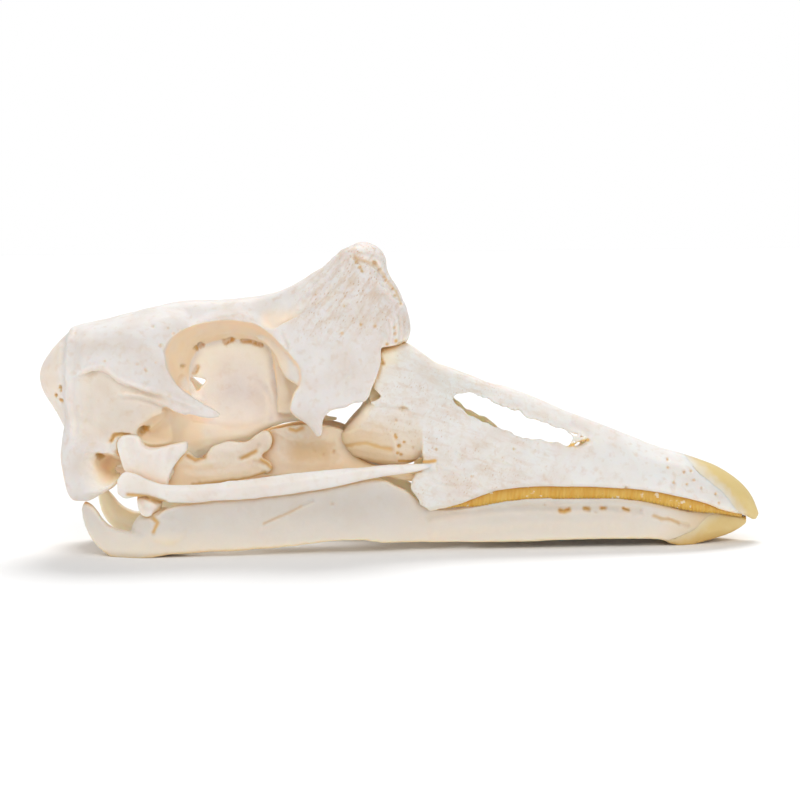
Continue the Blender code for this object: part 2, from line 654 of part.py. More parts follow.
def look(ob, name, colour, roughness, collection):
    """Material, smooth shading and collection of a finished bone."""
    mat = bpy.data.materials.get(name)
    if mat is None:
        mat = bpy.data.materials.new(name)
        mat.use_nodes = True
        shader = mat.node_tree.nodes["Principled BSDF"]
        shader.inputs["Base Color"].default_value = (*colour, 1.0)
        shader.inputs["Roughness"].default_value = roughness
        shader.inputs["Metallic"].default_value = 0.0
    ob.data.materials.clear()
    ob.data.materials.append(mat)
    ob.data.shade_smooth()
    for home in list(ob.users_collection):
        home.objects.unlink(ob)
    collection.objects.link(ob)
    ob.name = ob.name
    return ob


# Cranium: braincase, roof, knob, lacrimals, wall between the eyes.

def oval(x, top, bottom, wide, z_wide, upper, lower, n=20):
    """Half section of the braincase, from its top to its bottom."""
    half = []
    for a in np.linspace(math.pi / 2, -math.pi / 2, n):
        c, s = math.cos(a), math.sin(a)
        power = upper if s >= 0 else lower
        reach = top - z_wide if s >= 0 else z_wide - bottom
        y = wide * abs(c) ** (2.0 / power)
        z = z_wide + math.copysign(abs(s) ** (2.0 / power), s) * reach
        half.append((y, z))
    return ring_from_half(x, half)


def make_braincase():
    rows = smooth_line(BRAINCASE, 46)
    return loft("braincase", [oval(*row) for row in rows])


def make_roof():
    rings = []
    for x, top, wide, rim, under in smooth_line(ROOF, 34):
        half = smooth_line([
            (0, top), (wide * 0.45, top - 0.25), (wide * 0.8, rim + 1.5),
            (wide, rim), (wide - 0.5, rim - 1.2),
            (wide * 0.6, (rim + under) / 2 - 0.8), (0, under)], 22)
        half[0, 0] = 0.0
        half[-1, 0] = 0.0
        rings.append(ring_from_half(x, half))
    return loft("roof", rings)


def make_knob():
    rings = []
    for z, rear, front, wide in smooth_line(KNOB, 40):
        ring = []
        for a in np.linspace(0, 2 * math.pi, 44, endpoint=False):
            c, s = math.cos(a), math.sin(a)
            x = (front + rear) / 2 + (front - rear) / 2 * math.copysign(
                abs(c) ** 0.78, c)
            y = wide * math.copysign(abs(s) ** 0.78, s)
            ring.append((x, y, z))
        rings.append(ring)
    return loft("knob", rings)


def make_ear_wing():
    rings = []
    for z, rear, front, near, far in smooth_line(EAR_WING, 24):
        ring = []
        for a in np.linspace(0, 2 * math.pi, 32, endpoint=False):
            c, s = math.cos(a), math.sin(a)
            x = (front + rear) / 2 + (front - rear) / 2 * math.copysign(
                abs(c) ** 0.75, c)
            y = -(near + far) / 2 + (far - near) / 2 * math.copysign(
                abs(s) ** 0.75, s)
            ring.append((x, y, z))
        rings.append(ring)
    return loft("ear_wing", rings)


def make_nest(name, levels):
    """Loft through outlines that lie one behind the other along Y."""
    rings = []
    for y, outline in levels:
        rings.append([(x, y, z) for x, z in smooth_line(outline, 56, True)])
    rings = np.array(rings)
    deep = smooth_line(rings.reshape(len(rings), -1), 14)
    return loft(name, deep.reshape(14, 56, 3))


def make_lacrimal():
    ob = plate("lacrimal", LACRIMAL, -13.0, -11.0, 90)
    ob = fused(ob, 0.5)

    def bend(x, y, z):
        down = np.clip((38.0 - z) / 12.0, 0, 1)
        up = np.clip((z - 41.0) / 12.0, 0, 1)
        front = np.clip((x + 14.0) / 10.0, 0, 1)
        return x, y + 0.9 * front + 0.5 * down - 0.3 * up * (y + 12) + 1.6 * up, z
    return warp(ob, bend)


def make_cranium():
    extra = []
    plates = make_lacrimal()
    solid = joined("cranium", [
        make_braincase(), make_roof(), make_knob(), with_mirror(plates),
        plate("septum", SEPTUM, -SEPTUM_HALF - 0.2, SEPTUM_HALF + 0.2, 70),
    ])
    solid = joined("cranium", [solid, with_mirror(make_ear_wing())])
    solid = eased(fused(solid, GRID_CRANIUM), 3)

    nose = ball("nose", (-12.0, 0, 35.0), (8.5, 10.4, 9.0))
    neck = ball("neck", (-74.5, 0, 27.4), (7.0, 4.8, 4.2), (0, -25, 0))
    optic = plate("optic", [(-46.6, 38.9), (-44.2, 38.5), (-45.4, 36.9)],
                  -6.0, 6.0)
    for levels in (EYE_HOLLOW, TEMPLE_POCKET, EAR_SCOOP):
        hollow = make_nest("hollow", levels)
        solid = cut(solid, [copied(hollow, "hollow_m", True), hollow])
    solid = cut(solid, [nose, neck, optic])

    spike = fused(plate("spike", POSTORBITAL, -16.8, -13.8, 60), 0.5)

    def taper(x, y, z):
        t = np.clip((x + 56.0) / 17.0, 0, 1)
        return x, -15.7 + 0.9 * t + (y + 15.3) * (1.0 - 0.5 * t), z
    extra.append(with_mirror(warp(spike, taper)))
    extra.append(bar("rostrum", [
        (-50.0, 0, 23.0, 6.0), (-46.0, 0, 24.0, 4.6), (-42.0, 0, 24.6, 3.1),
        (-38.0, 0, 24.9, 2.0), (-34.0, 0, 25.4, 1.7), (-30.0, 0, 27.3, 1.3),
        (-26.0, 0, 28.3, 1.1), (-21.0, 0, 28.7, 1.0), (-16.0, 0, 28.6, 0.9),
        (-12.9, 0, 28.3, 0.8)], 4))
    for side in (-1, 1):
        extra.append(bar("front_wall", [
            (-26.4, side * 0.6, 46.0, 1.5), (-25.2, side * 1.2, 40.0, 1.5),
            (-24.6, side * 1.4, 34.0, 1.4), (-24.4, side * 1.2, 28.6, 1.2)], 4))
        extra.append(bar("ear_spur", [
            (-63.2, side * 14.6, 28.0, 2.2), (-62.2, side * 15.2, 25.4, 1.5),
            (-61.7, side * 15.6, 23.2, 0.8)], 4))
    extra.append(ball("neck_knob", (-73.2, 0, 21.4), (2.4, 2.6, 2.2)))
    solid = joined("cranium", [solid] + extra)
    solid = eased(fused(solid, GRID_CRANIUM), 2, 0.4)
    solid = biggest(solid)

    def temple(x, y, z):
        ridge = by_x([(-72.0, 38.0), (-66.1, 41.4), (-63.0, 41.4),
                      (-60.3, 39.2), (-56.0, 37.3), (-51.8, 36.0),
                      (-46.0, 34.0)], x)
        below = np.clip((ridge - z) / 2.0, 0, 1)
        fade = np.clip((z - 24.0) / 6.0, 0, 1)
        ends = (np.clip((x + 72.0) / 5.0, 0, 1)
                * np.clip((-52.0 - x) / 3.0, 0, 1))
        side = np.clip((np.abs(y) - 11.0) / 3.0, 0, 1)
        depth = 1.3 * below * fade * ends * side
        return x, y - np.sign(y) * depth, z
    solid = warp(solid, temple)
    return thinned(solid, FACES["cranium"])


# Upper bill, its nail and its lamellae.

def bill_half(top, ridge, mid, edge, low, shrink=0.0, floor=None):
    """Half section of the bill; shrink makes the inner one."""
    tall = top - low
    bottom = low if floor is None else floor
    pts = [(0, top), (ridge * 0.6, top - 0.15), (ridge, top - 0.09 * tall),
           ((ridge + mid) / 2 + 0.5, top - 0.30 * tall),
           (mid, low + 0.42 * tall), (edge - 0.25, low + 0.14 * tall),
           (edge, low + 0.02 * tall), (edge - 0.8, low - 0.02),
           (edge * 0.5, low), (0, low)]
    pts = np.array(pts, float)
    if shrink:
        pts[:, 0] = np.maximum(pts[:, 0] - shrink, 0) * (pts[:, 0] > 0)
        pts[:, 1] = np.clip(pts[:, 1], bottom, top - shrink)
    line = smooth_line(pts, 30)
    line[0, 0] = 0.0
    line[-1, 0] = 0.0
    line[:, 0] = np.maximum(line[:, 0], 0.0)
    return line


def make_bill_form():
    rings = []
    for x, top, ridge, mid, edge, low in smooth_line(BILL, 90):
        rings.append(ring_from_half(x, bill_half(top, ridge, mid, edge, low)))
    return loft("bill", rings)


def make_bill_inside():
    rings = []
    rows = [r for r in BILL if -10 < r[0] < 50]
    for x, top, ridge, mid, edge, low in smooth_line(rows, 40):
        floor = by_x([(-9, -4.0), (6, -2.0), (14, 8.0), (24, 17.5),
                      (50, 17.0)], x)
        wall = BILL_WALL + 1.2 * np.clip((x - 30) / 20.0, 0, 1)
        rings.append(ring_from_half(
            x, bill_half(top, ridge, mid, edge, low, wall, floor)))
    rings = np.array(rings)
    rings[0, :, 0] -= 6.0
    return loft("bill_inside", rings)


def make_palate_hollow():
    """Shallow trough along the underside of the bill."""
    rings = []
    for x in np.linspace(24.0, 71.0, 24):
        low = by_x([(r[0], r[5]) for r in BILL], x)
        edge = by_x([(r[0], r[4]) for r in BILL], x)
        end = min(1.0, (x - 23.5) / 14.0, (71.5 - x) / 6.0)
        wide = (edge - 3.0) * max(end, 0.1) ** 0.6
        tall = 2.2 * max(end, 0.1)
        half = [(0, low + tall), (wide * 0.7, low + tall * 0.9),
                (wide, low + tall * 0.2), (wide, low - 3.0), (0, low - 3.0)]
        rings.append(ring_from_half(x, half))
    return loft("palate_hollow", rings)


def nail_block(edge, reach, shift=0.0):
    """Slab in front of a nail's rear edge, right through the bill."""
    line = [(x + shift, z) for x, z in smooth_line(edge, 24)]
    block = line + [(reach, line[-1][1]), (reach, line[0][1])]
    return plate("nail_block", block, -20.0, 20.0)


def make_concha():
    middle = np.mean(CONCHA, axis=0)
    levels = []
    for y, size in CONCHA_DOME:
        outline = middle + (np.array(CONCHA) - middle) * size
        levels.append((y, [tuple(p) for p in outline]))
    return make_nest("concha", levels)


def make_bill():
    form = eased(fused(make_bill_form(), GRID_BILL), 2, 0.4)
    nail = copied(form, "bill_nail")
    cut(nail, [nail_block(NAIL_EDGE, 95.0, GAP / 2)], "INTERSECT")
    nail = thinned(biggest(nail), 420)

    bill = cut(form, [nail_block(NAIL_EDGE, 95.0, -GAP / 2)])
    bill = cut(bill, [make_bill_inside(), make_palate_hollow()])
    bill = cut(bill, [plate("rear", BILL_REAR, -20.0, 20.0)])
    nostril = plate("nostril", NOSTRIL, -20.0, 20.0, 60)
    bill = cut(bill, [nostril])
    bulbs = [with_mirror(make_concha())]
    for side in (-1, 1):
        bulbs.append(ball("bulb_root", (4.5, side * 8.2, 26.4),
                          (8.5, 3.3, 6.1)))
        bulbs.append(bar("cheek_root", [
            (5.0, side * 11.6, 18.6, 1.2),
            (8.0, side * 11.6, 18.6, 1.6)], 4))
    bill = joined("upper_bill", [bill] + bulbs)
    bill = eased(fused(bill, GRID_BILL), 2, 0.4)
    bill = thinned(biggest(bill), FACES["upper_bill"])
    return bill, nail


def make_lamellae():
    """Horny strip with fine plates that hangs inside the bill's edge."""
    side = []
    for x, top, ridge, mid, edge, low in smooth_line(
            [r for r in BILL if 8.0 <= r[0] < 77.0], 60):
        side.append((x, edge, low))
    side = np.array(side)
    drop = by_x([(8, 0.5), (12, 1.3), (20, 2.2), (40, 2.1), (55, 1.9),
                 (62, 1.7), (66, 1.5), (72, 0.8), (77, 0.5)], side[:, 0])
    rings = []
    for (x, edge, low), d in zip(side, drop):
        inner = max(edge - 2.2, 0.5)
        outer = max(edge - 1.3, 1.2)
        rings.append([(x, -outer, low - GAP), (x, -inner, low - GAP),
                      (x, -inner, low - GAP - d), (x, -outer, low - GAP - d)])
    return loft("lamellae", rings)


# Lower jaw and its nail.

def make_jaw():
    side = plate("side", JAW_SIDE, -0.5, 0.5, 170)
    side = fused(side, 0.45)

    def bend(x, y, z):
        middle = by_x(JAW_BEND, x)
        wall = by_x(JAW_WALL, x)
        low = np.clip((9.0 - z) / 9.0, 0, 1)
        front = np.clip((x - 50.0) / 20.0, 0, 1)
        out = middle - 1.2 * low * low * front + 0.5 * low * (1 - front)
        return x, -(out + y * wall), z
    side = warp(side, bend)
    side.data.flip_normals()
    joint = ball("joint", (-51.6, -14.4, 5.4), (7.0, 5.0, 5.0), (8, 0, 0))
    cup = ball("cup", (-54.9, -13.4, 5.4), (3.4, 3.4, 2.7))
    inner = bar("inner", [(-55.6, -13.0, 2.8, 2.0), (-56.0, -9.5, 4.4, 1.6),
                          (-56.4, -6.8, 6.0, 1.1)], 4)
    hook = bar("hook", [(-61.0, -14.6, 3.4, 1.9), (-65.6, -13.4, 5.4, 1.6),
                        (-68.0, -12.8, 9.0, 1.3)], 4)
    half = joined("half", [side, joint, cup, inner, hook])
    floor = plate("floor", [
        (57.5, 0.0), (55.6, 5.5), (54.6, 8.0), (60.0, 7.9), (65.0, 7.0),
        (70.0, 5.4), (74.0, 3.6), (77.2, 1.5), (77.9, 0.0), (77.2, -1.5),
        (74.0, -3.6), (70.0, -5.4), (65.0, -7.0), (60.0, -7.9),
        (54.6, -8.0), (55.6, -5.5)], 0.0, 1.8, 60, "xy")
    floor = fused(floor, 0.5)

    def spoon(x, y, z):
        low = by_x([(54.0, 1.7), (58.5, 0.9), (63.3, -0.5), (66.6, 0.1),
                    (70.1, 0.9), (73.6, 1.8), (76.0, 2.8), (78.0, 4.0)], x)
        wide = by_x(JAW_BEND, x) + 1.0
        rise = 1.5 * np.clip(np.abs(y) / wide, 0, 1) ** 2.2
        return x, y, low + rise + z
    floor = warp(floor, spoon)
    jaw = joined("mandible", [with_mirror(half), floor])
    jaw = eased(fused(jaw, GRID_JAW), 3, 0.4)
    jaw = biggest(jaw)
    nail = copied(jaw, "mandible_nail")
    cut(nail, [nail_block(JAW_NAIL_EDGE, 95.0, GAP / 2)], "INTERSECT")
    jaw = cut(jaw, [nail_block(JAW_NAIL_EDGE, 95.0, -GAP / 2)])
    jaw = thinned(biggest(jaw), FACES["mandible"])
    nail = thinned(biggest(nail), 300)
    return trimmed_flat(jaw), trimmed_flat(nail)


# Small bones of the jaw joint, the palate and the cheek.

def make_quadrate():
    body = fused(plate("quadrate", QUADRATE, -17.0, -14.4, 70), 0.4)

    def shape(x, y, z):
        z = np.where(z < 14.0, 14.0 - (14.0 - z) * 0.72, z)
        foot = np.clip((12.5 - z) / 3.0, 0, 1)
        head = np.clip((z - 22.5) / 3.0, 0, 1)
        inner = np.clip((x + 53.0) / 7.0, 0, 1) * np.clip((z - 17) / 4, 0, 1)
        mid = -15.4 + 1.0 * head + 3.2 * inner
        return x, mid + (y + 15.7) * (1.0 + 1.5 * foot + 0.4 * head), z
    body = warp(body, shape)
    foot = ball("foot", (-54.2, -15.0, 11.5), (2.5, 3.6, 2.6))
    arm = bar("arm", [(-52.6, -14.0, 16.0, 1.8), (-51.2, -12.0, 17.6, 1.6),
                      (-50.6, -10.6, 18.2, 1.5)], 4)
    bone = joined("quadrate_right", [body, foot, arm])
    bone = eased(fused(bone, GRID_SMALL), 3, 0.4)
    return thinned(biggest(bone), FACES["quadrate"])


def make_pterygoid():
    body = fused(plate("pterygoid", PTERYGOID, -0.9, 0.9, 60), 0.4)

    def lean(x, y, z):
        mid = by_x([(-50.0, -9.8), (-44.0, -8.6), (-36.0, -7.0),
                    (-28.5, -6.2)], x)
        return x, mid + y * (1.0 + 0.5 * np.clip((-44.0 - x) / 5, 0, 1)), z
    bone = eased(fused(warp(body, lean), GRID_SMALL), 2, 0.4)
    bone.name = "pterygoid_right"
    return thinned(biggest(bone), FACES["pterygoid"])


def make_palatine():
    body = fused(plate("palatine", PALATINE, -0.9, 0.9, 70), 0.4)

    def lean(x, y, z):
        mid = by_x([(-31.0, -3.4), (-24.0, -5.0), (-14.0, -6.6),
                    (-4.0, -7.4), (6.0, -8.2)], x)
        low = np.clip((22.0 - z) / 6.0, 0, 1)
        return x, mid + y - 1.2 * low, z
    bone = eased(fused(warp(body, lean), GRID_SMALL), 2, 0.4)
    bone.name = "palatine_right"
    return thinned(biggest(bone), FACES["palatine"])


def make_jugal():
    rings = []
    for x, y, z, tall in smooth_line(JUGAL, 40):
        thick = 0.72 + 0.18 * max(0.0, min(1.0, (-50.0 - x) / 8.0))
        ring = []
        for a in np.linspace(0, 2 * math.pi, 12, endpoint=False):
            ring.append((x, y + thick * math.cos(a), z + tall * math.sin(a)))
        rings.append(ring)
    bone = loft("jugal_bar_right", rings)
    return thinned(bone, FACES["jugal"])


# All pieces in their places.

def main():
    for ob in list(bpy.data.objects):
        bpy.data.objects.remove(ob)
    home = bpy.data.collections.new(NAME)
    bpy.context.scene.collection.children.link(home)
    bone = (0.80, 0.76, 0.70)
    inner = (0.74, 0.64, 0.50)
    horn = (0.62, 0.42, 0.16)

    cranium = make_cranium()
    bill, bill_nail = make_bill()
    jaw, jaw_nail = make_jaw()
    comb = make_lamellae()
    quadrate = make_quadrate()
    pterygoid = make_pterygoid()
    palatine = make_palatine()
    jugal = make_jugal()

    cleared(pterygoid, [quadrate, palatine])
    cleared(palatine, [bill])
    cleared(jugal, [quadrate, bill, jaw])
    for side in (False, True):
        block = [copied(bone_half, "near", side)
                 for bone_half in (quadrate, pterygoid, palatine, jugal)]
        cleared(cranium, block[:3])
        cleared(jaw, block)
        cleared(comb, [jaw, jaw_nail, bill])
        for part in block:
            bpy.data.objects.remove(part)
    cleared(bill, [cranium])

    pieces = [
        (cranium, "cranium", "cranium_bone", bone, 0.6),
        (bill, "upper_bill", "bill_bone", bone, 0.62),
        (bill_nail, "bill_nail", "bill_horn", horn, 0.35),
        (jaw, "mandible", "jaw_bone", bone, 0.55),
        (jaw_nail, "mandible_nail", "jaw_horn", horn, 0.38),
    ]
    for right, word, finish_name, colour, roughness in (
            (comb, "bill_lamellae", "lamella_horn", horn, 0.45),
            (quadrate, "quadrate", "quadrate_bone", inner, 0.6),
            (pterygoid, "pterygoid", "pterygoid_bone", inner, 0.6),
            (palatine, "palatine", "palatine_bone", inner, 0.6),
            (jugal, "jugal_bar", "jugal_bone", inner, 0.6)):
        pieces.append((copied(right, word, True), word + "_left",
                       finish_name, colour, roughness))
        pieces.append((right, word + "_right", finish_name, colour,
                       roughness))
    reach = [v.co.x for piece in pieces for v in piece[0].data.vertices]
    middle = (min(reach) + max(reach)) / 2 / MM
    for piece in pieces:
        warp(piece[0], lambda x, y, z: (x - middle, y, z))
    for ob, name, finish_name, colour, roughness in pieces:
        ob.name = name
        ob.data.name = name
        look(ob, finish_name, colour, roughness, home)


main()
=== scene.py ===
# %% [markdown]
# # The skull of a Chinese goose
# A cleaned goose skull is a light shell of bone: a round braincase, a bony
# knob on the forehead, a long bill that ends in a horny nail, and a lower jaw
# of two thin branches.  It has hardly a flat face on it, so the bones are
# made as a sculptor makes them: simple forms are set in place, fused into one
# skin, hollowed with other forms, and then pressed and scratched with brushes.

# %% Start from the measured frame
import math

import bpy
import numpy as np
from mathutils import Matrix, Vector


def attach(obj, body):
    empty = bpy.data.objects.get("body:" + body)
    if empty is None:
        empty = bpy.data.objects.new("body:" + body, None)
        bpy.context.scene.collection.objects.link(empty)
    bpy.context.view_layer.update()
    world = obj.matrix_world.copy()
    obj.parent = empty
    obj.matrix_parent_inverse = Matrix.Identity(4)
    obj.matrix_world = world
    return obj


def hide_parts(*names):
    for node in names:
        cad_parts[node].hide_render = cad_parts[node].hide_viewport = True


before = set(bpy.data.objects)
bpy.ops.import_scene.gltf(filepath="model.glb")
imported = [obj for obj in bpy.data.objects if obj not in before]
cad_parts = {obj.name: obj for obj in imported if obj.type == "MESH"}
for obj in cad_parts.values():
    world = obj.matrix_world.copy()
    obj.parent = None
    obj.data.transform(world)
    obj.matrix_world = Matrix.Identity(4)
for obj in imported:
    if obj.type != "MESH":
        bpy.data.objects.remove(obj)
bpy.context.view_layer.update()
MM = 0.001

# %% [markdown]
# ## Hands and tools
# Every step below selects one object, adds a modifier or an edit-mode
# operator, and applies it, just as the same work is done by hand.  An
# operator acts on all that is selected, so the selection is cleared first.

# %% Select, apply, join
def select(*obs):
    """Leave only these objects selected, the first one active."""
    bpy.ops.object.select_all(action="DESELECT")
    for ob in obs:
        ob.select_set(True)
    bpy.context.view_layer.objects.active = obs[0]


def edit_all(ob, action):
    """Run one edit-mode action on the whole mesh of an object."""
    select(ob)
    bpy.ops.object.mode_set(mode="EDIT")
    bpy.ops.mesh.select_all(action="SELECT")
    action()
    bpy.ops.object.mode_set(mode="OBJECT")
    return ob


def outwards(ob):
    return edit_all(ob, lambda: bpy.ops.mesh.normals_make_consistent(
        inside=False))


def applied(ob, kind, **settings):
    """Add a modifier, set it up and apply it."""
    select(ob)
    bpy.ops.object.modifier_add(type=kind)
    mod = ob.modifiers[-1]
    for key, value in settings.items():
        setattr(mod, key, value)
    bpy.ops.object.modifier_apply(modifier=mod.name)
    return ob


def settle(ob):
    """Put an object's place, turn and size into its mesh."""
    select(ob)
    bpy.ops.object.transform_apply(location=True, rotation=True, scale=True)
    return ob


def joined(name, parts):
    select(*parts)
    if len(parts) > 1:
        bpy.ops.object.join()
    ob = bpy.context.view_layer.objects.active
    ob.name = name
    ob.data.name = name
    return ob


def remove(ob):
    mesh = ob.data
    bpy.data.objects.remove(ob)
    bpy.data.meshes.remove(mesh)


# %% [markdown]
# ## Lines and points
# The outlines of the bones are rows of measured places, in millimetres.  A
# smooth line runs through them, so a few places give a curve without
# corners.  Points are moved all at once as one array, which is what a brush
# does in sculpt mode.

# %% Smooth lines and arrays of points
def smooth_line(points, count, closed=False):
    """Evenly spaced points along a smooth line through the given ones."""
    p = np.array(points, float)
    n = len(p)
    fine = []
    for i in range(n if closed else n - 1):
        a = p[(i - 1) % n] if closed else p[max(i - 1, 0)]
        b = p[i]
        c = p[(i + 1) % n]
        d = p[(i + 2) % n] if closed else p[min(i + 2, n - 1)]
        for t in np.linspace(0.0, 1.0, 8, endpoint=False):
            fine.append(0.5 * (2 * b + (c - a) * t
                               + (2 * a - 5 * b + 4 * c - d) * t * t
                               + (3 * b - a - 3 * c + d) * t ** 3))
    fine.append(p[0] if closed else p[-1])
    fine = np.array(fine)
    steps = np.linalg.norm(np.diff(fine, axis=0), axis=1)
    along = np.concatenate([[0.0], np.cumsum(steps)])
    want = np.linspace(0.0, along[-1], count, endpoint=not closed)
    return np.stack([np.interp(want, along, fine[:, k])
                     for k in range(p.shape[1])], axis=1)


def by_x(table, x):
    """Value of a two-column table at x, without corners at its rows."""
    rows = np.array(table, float)
    slope = np.gradient(rows[:, 1], rows[:, 0])
    x = np.clip(x, rows[0, 0], rows[-1, 0])
    i = np.clip(np.searchsorted(rows[:, 0], x) - 1, 0, len(rows) - 2)
    h = rows[i + 1, 0] - rows[i, 0]
    t = (x - rows[i, 0]) / h
    return ((2 * t ** 3 - 3 * t ** 2 + 1) * rows[i, 1]
            + (t ** 3 - 2 * t ** 2 + t) * h * slope[i]
            + (3 * t ** 2 - 2 * t ** 3) * rows[i + 1, 1]
            + (t ** 3 - t ** 2) * h * slope[i + 1])


def ramp(value, low, high):
    """0 below low, 1 above high, eased in between."""
    t = np.clip((value - low) / (high - low), 0.0, 1.0)
    return t * t * (3.0 - 2.0 * t)


def points_of(ob):
    flat = np.empty(len(ob.data.vertices) * 3, dtype=np.float32)
    ob.data.vertices.foreach_get("co", flat)
    return flat.reshape(-1, 3).astype(float) / MM


def put_points(ob, p):
    ob.data.vertices.foreach_set("co", (p * MM).astype(np.float32).ravel())
    ob.data.update()


def warp(ob, move):
    """Move every point, in mm, by a function of arrays x, y and z."""
    p = points_of(ob)
    put_points(ob, np.stack(move(p[:, 0], p[:, 1], p[:, 2]), axis=1))
    return ob


# %% [markdown]
# ## Four simple forms
# A *plate* is an outline filled and extruded, a *bar* is a curve with a round
# bevel, a *ball* is a stretched sphere, and a *loft* is a skin over a row of
# sections.  Most of a skull can be laid down with these four.

# %% Plates, bars, balls and lofts
def from_points(name, verts, faces):
    mesh = bpy.data.meshes.new(name)
    mesh.from_pydata([tuple(v * MM for v in p) for p in verts], [], faces)
    ob = bpy.data.objects.new(name, mesh)
    bpy.context.scene.collection.objects.link(ob)
    return ob


def plate(name, outline, y_from, y_to, count=None, flat="xz"):
    """Outline filled as one face and extruded to its thickness."""
    points = outline if count is None else smooth_line(outline, count, True)
    if flat == "xz":
        verts = [(a, y_from, b) for a, b in points]
        move = (0, (y_to - y_from) * MM, 0)
    else:
        verts = [(a, b, y_from) for a, b in points]
        move = (0, 0, (y_to - y_from) * MM)
    ob = from_points(name, verts, [tuple(range(len(verts)))])
    edit_all(ob, lambda: bpy.ops.mesh.extrude_region_move(
        TRANSFORM_OT_translate={"value": move}))
    return outwards(ob)


def bar(name, points, sides=2):
    """Round tapering bar; each point is x, y, z and a radius."""
    curve = bpy.data.curves.new(name, "CURVE")
    curve.dimensions = "3D"
    curve.bevel_depth = MM
    curve.bevel_resolution = sides
    curve.use_fill_caps = True
    spline = curve.splines.new("POLY")
    spline.points.add(len(points) - 1)
    for point, (x, y, z, r) in zip(spline.points, points):
        point.co = (x * MM, y * MM, z * MM, 1.0)
        point.radius = r
    ob = bpy.data.objects.new(name, curve)
    bpy.context.scene.collection.objects.link(ob)
    select(ob)
    bpy.ops.object.convert(target="MESH")
    ob = bpy.context.object
    edit_all(ob, lambda: bpy.ops.mesh.remove_doubles(threshold=0.00002))
    return outwards(ob)


def ball(name, place, radii, turn=(0, 0, 0)):
    """Stretched sphere, turned by degrees about X, Y and Z."""
    bpy.ops.object.select_all(action="DESELECT")
    bpy.ops.mesh.primitive_uv_sphere_add(
        segments=32, ring_count=18, radius=1.0,
        location=[v * MM for v in place],
        rotation=[math.radians(v) for v in turn])
    ob = bpy.context.object
    ob.name = name
    ob.scale = [v * MM for v in radii]
    return settle(ob)


def loft(name, rings):
    """Closed skin over a row of rings that all have the same count."""
    rings = np.array(rings, float)
    m, n = rings.shape[:2]
    faces = [tuple(reversed(range(n)))]
    for i in range(m - 1):
        for j in range(n):
            k = (j + 1) % n
            faces.append((i * n + j, i * n + k,
                          (i + 1) * n + k, (i + 1) * n + j))
    faces.append(tuple((m - 1) * n + j for j in range(n)))
    return outwards(from_points(name, rings.reshape(-1, 3), faces))


def ring_from_half(x, half):
    """Whole section at x from a half one that runs from top to bottom."""
    half = np.array(half, float)
    left = [(x, y, z) for y, z in half]
    right = [(x, -y, z) for y, z in half[-2:0:-1]]
    return left + right


# %% [markdown]
# ## Fusing and cutting
# Forms that overlap become one skin with a voxel remesh, whose grid sets how
# fine the result is.  A few rounds of smoothing then melt the joints, as
# growing bone does.  Openings are cut with the Boolean modifier.

# %% Fuse, ease, cut and mirror
FINE = 0.36


def fused(ob, grid):
    return applied(ob, "REMESH", mode="VOXEL", voxel_size=grid * MM)


def eased(ob, rounds, strength=0.5):
    return applied(ob, "SMOOTH", factor=strength, iterations=rounds)


def cut(ob, cutters, operation="DIFFERENCE"):
    for tool in cutters:
        applied(ob, "BOOLEAN", object=tool, operation=operation,
                solver="EXACT")
        remove(tool)
    return ob


def copied(ob, name, mirror=False):
    """Copy with its own mesh, on the other side if mirrored."""
    select(ob)
    bpy.ops.object.duplicate()
    new = bpy.context.object
    new.name = name
    new.data.name = name
    if mirror:
        warp(new, lambda x, y, z: (x, -y, z))
        edit_all(new, bpy.ops.mesh.flip_normals)
    return new


def with_mirror(ob):
    return joined(ob.name, [ob, copied(ob, ob.name + "_m", True)])


def biggest(ob):
    """Keep only the largest connected piece of a mesh."""
    count = len(ob.data.vertices)
    edges = np.empty(len(ob.data.edges) * 2, dtype=np.int32)
    ob.data.edges.foreach_get("vertices", edges)
    edges = edges.reshape(-1, 2)
    label = np.arange(count)
    while True:
        low = np.minimum(label[edges[:, 0]], label[edges[:, 1]])
        new = label.copy()
        np.minimum.at(new, edges[:, 0], low)
        np.minimum.at(new, edges[:, 1], low)
        new = new[new]
        if (new == label).all():
            break
        label = new
    keep = np.bincount(label).argmax()
    loose = label != keep
    if loose.any():
        ob.data.vertices.foreach_set("select", loose)
        ob.data.edges.foreach_set("select", loose[edges[:, 0]])
        faces = [loose[face.vertices[0]] for face in ob.data.polygons]
        ob.data.polygons.foreach_set("select", faces)
        select(ob)
        bpy.ops.object.mode_set(mode="EDIT")
        bpy.ops.mesh.delete(type="VERT")
        bpy.ops.object.mode_set(mode="OBJECT")
    return ob


def slimmed(ob, most):
    """Fewer triangles where the surface is plain."""
    triangles = sum(len(face.vertices) - 2 for face in ob.data.polygons)
    if triangles > most:
        applied(ob, "DECIMATE", ratio=most / triangles)
    return ob


# %% [markdown]
# ## Brushes
# Real bone is never plain: muscles leave ridges, vessels leave grooves and
# holes.  A brush here is a line and a width.  It presses in or pulls out the
# points that lie near the line, seen from the side, and face outwards, on both
# halves at once.  A second brush stains them, because the holes of a cleaned
# skull hold a little brown grease; in a few hollows the same brush paints shade.

# %% Brushes that press, raise and stain
def lumps(p, size, seed):
    """Smooth swelling between -1 and 1, with bumps of one size in mm."""
    table = np.random.default_rng(seed).uniform(-1.0, 1.0, 4096)
    q = p / size
    cell = np.floor(q).astype(np.int64)
    f = q - cell
    f = f * f * (3.0 - 2.0 * f)
    total = np.zeros(len(p))
    for corner in range(8):
        d = np.array([corner & 1, corner >> 1 & 1, corner >> 2 & 1])
        c = cell + d
        key = (c[:, 0] * 73856093 ^ c[:, 1] * 19349663
               ^ c[:, 2] * 83492791) & 4095
        total += np.prod(np.where(d == 1, f, 1.0 - f), axis=1) * table[key]
    return total


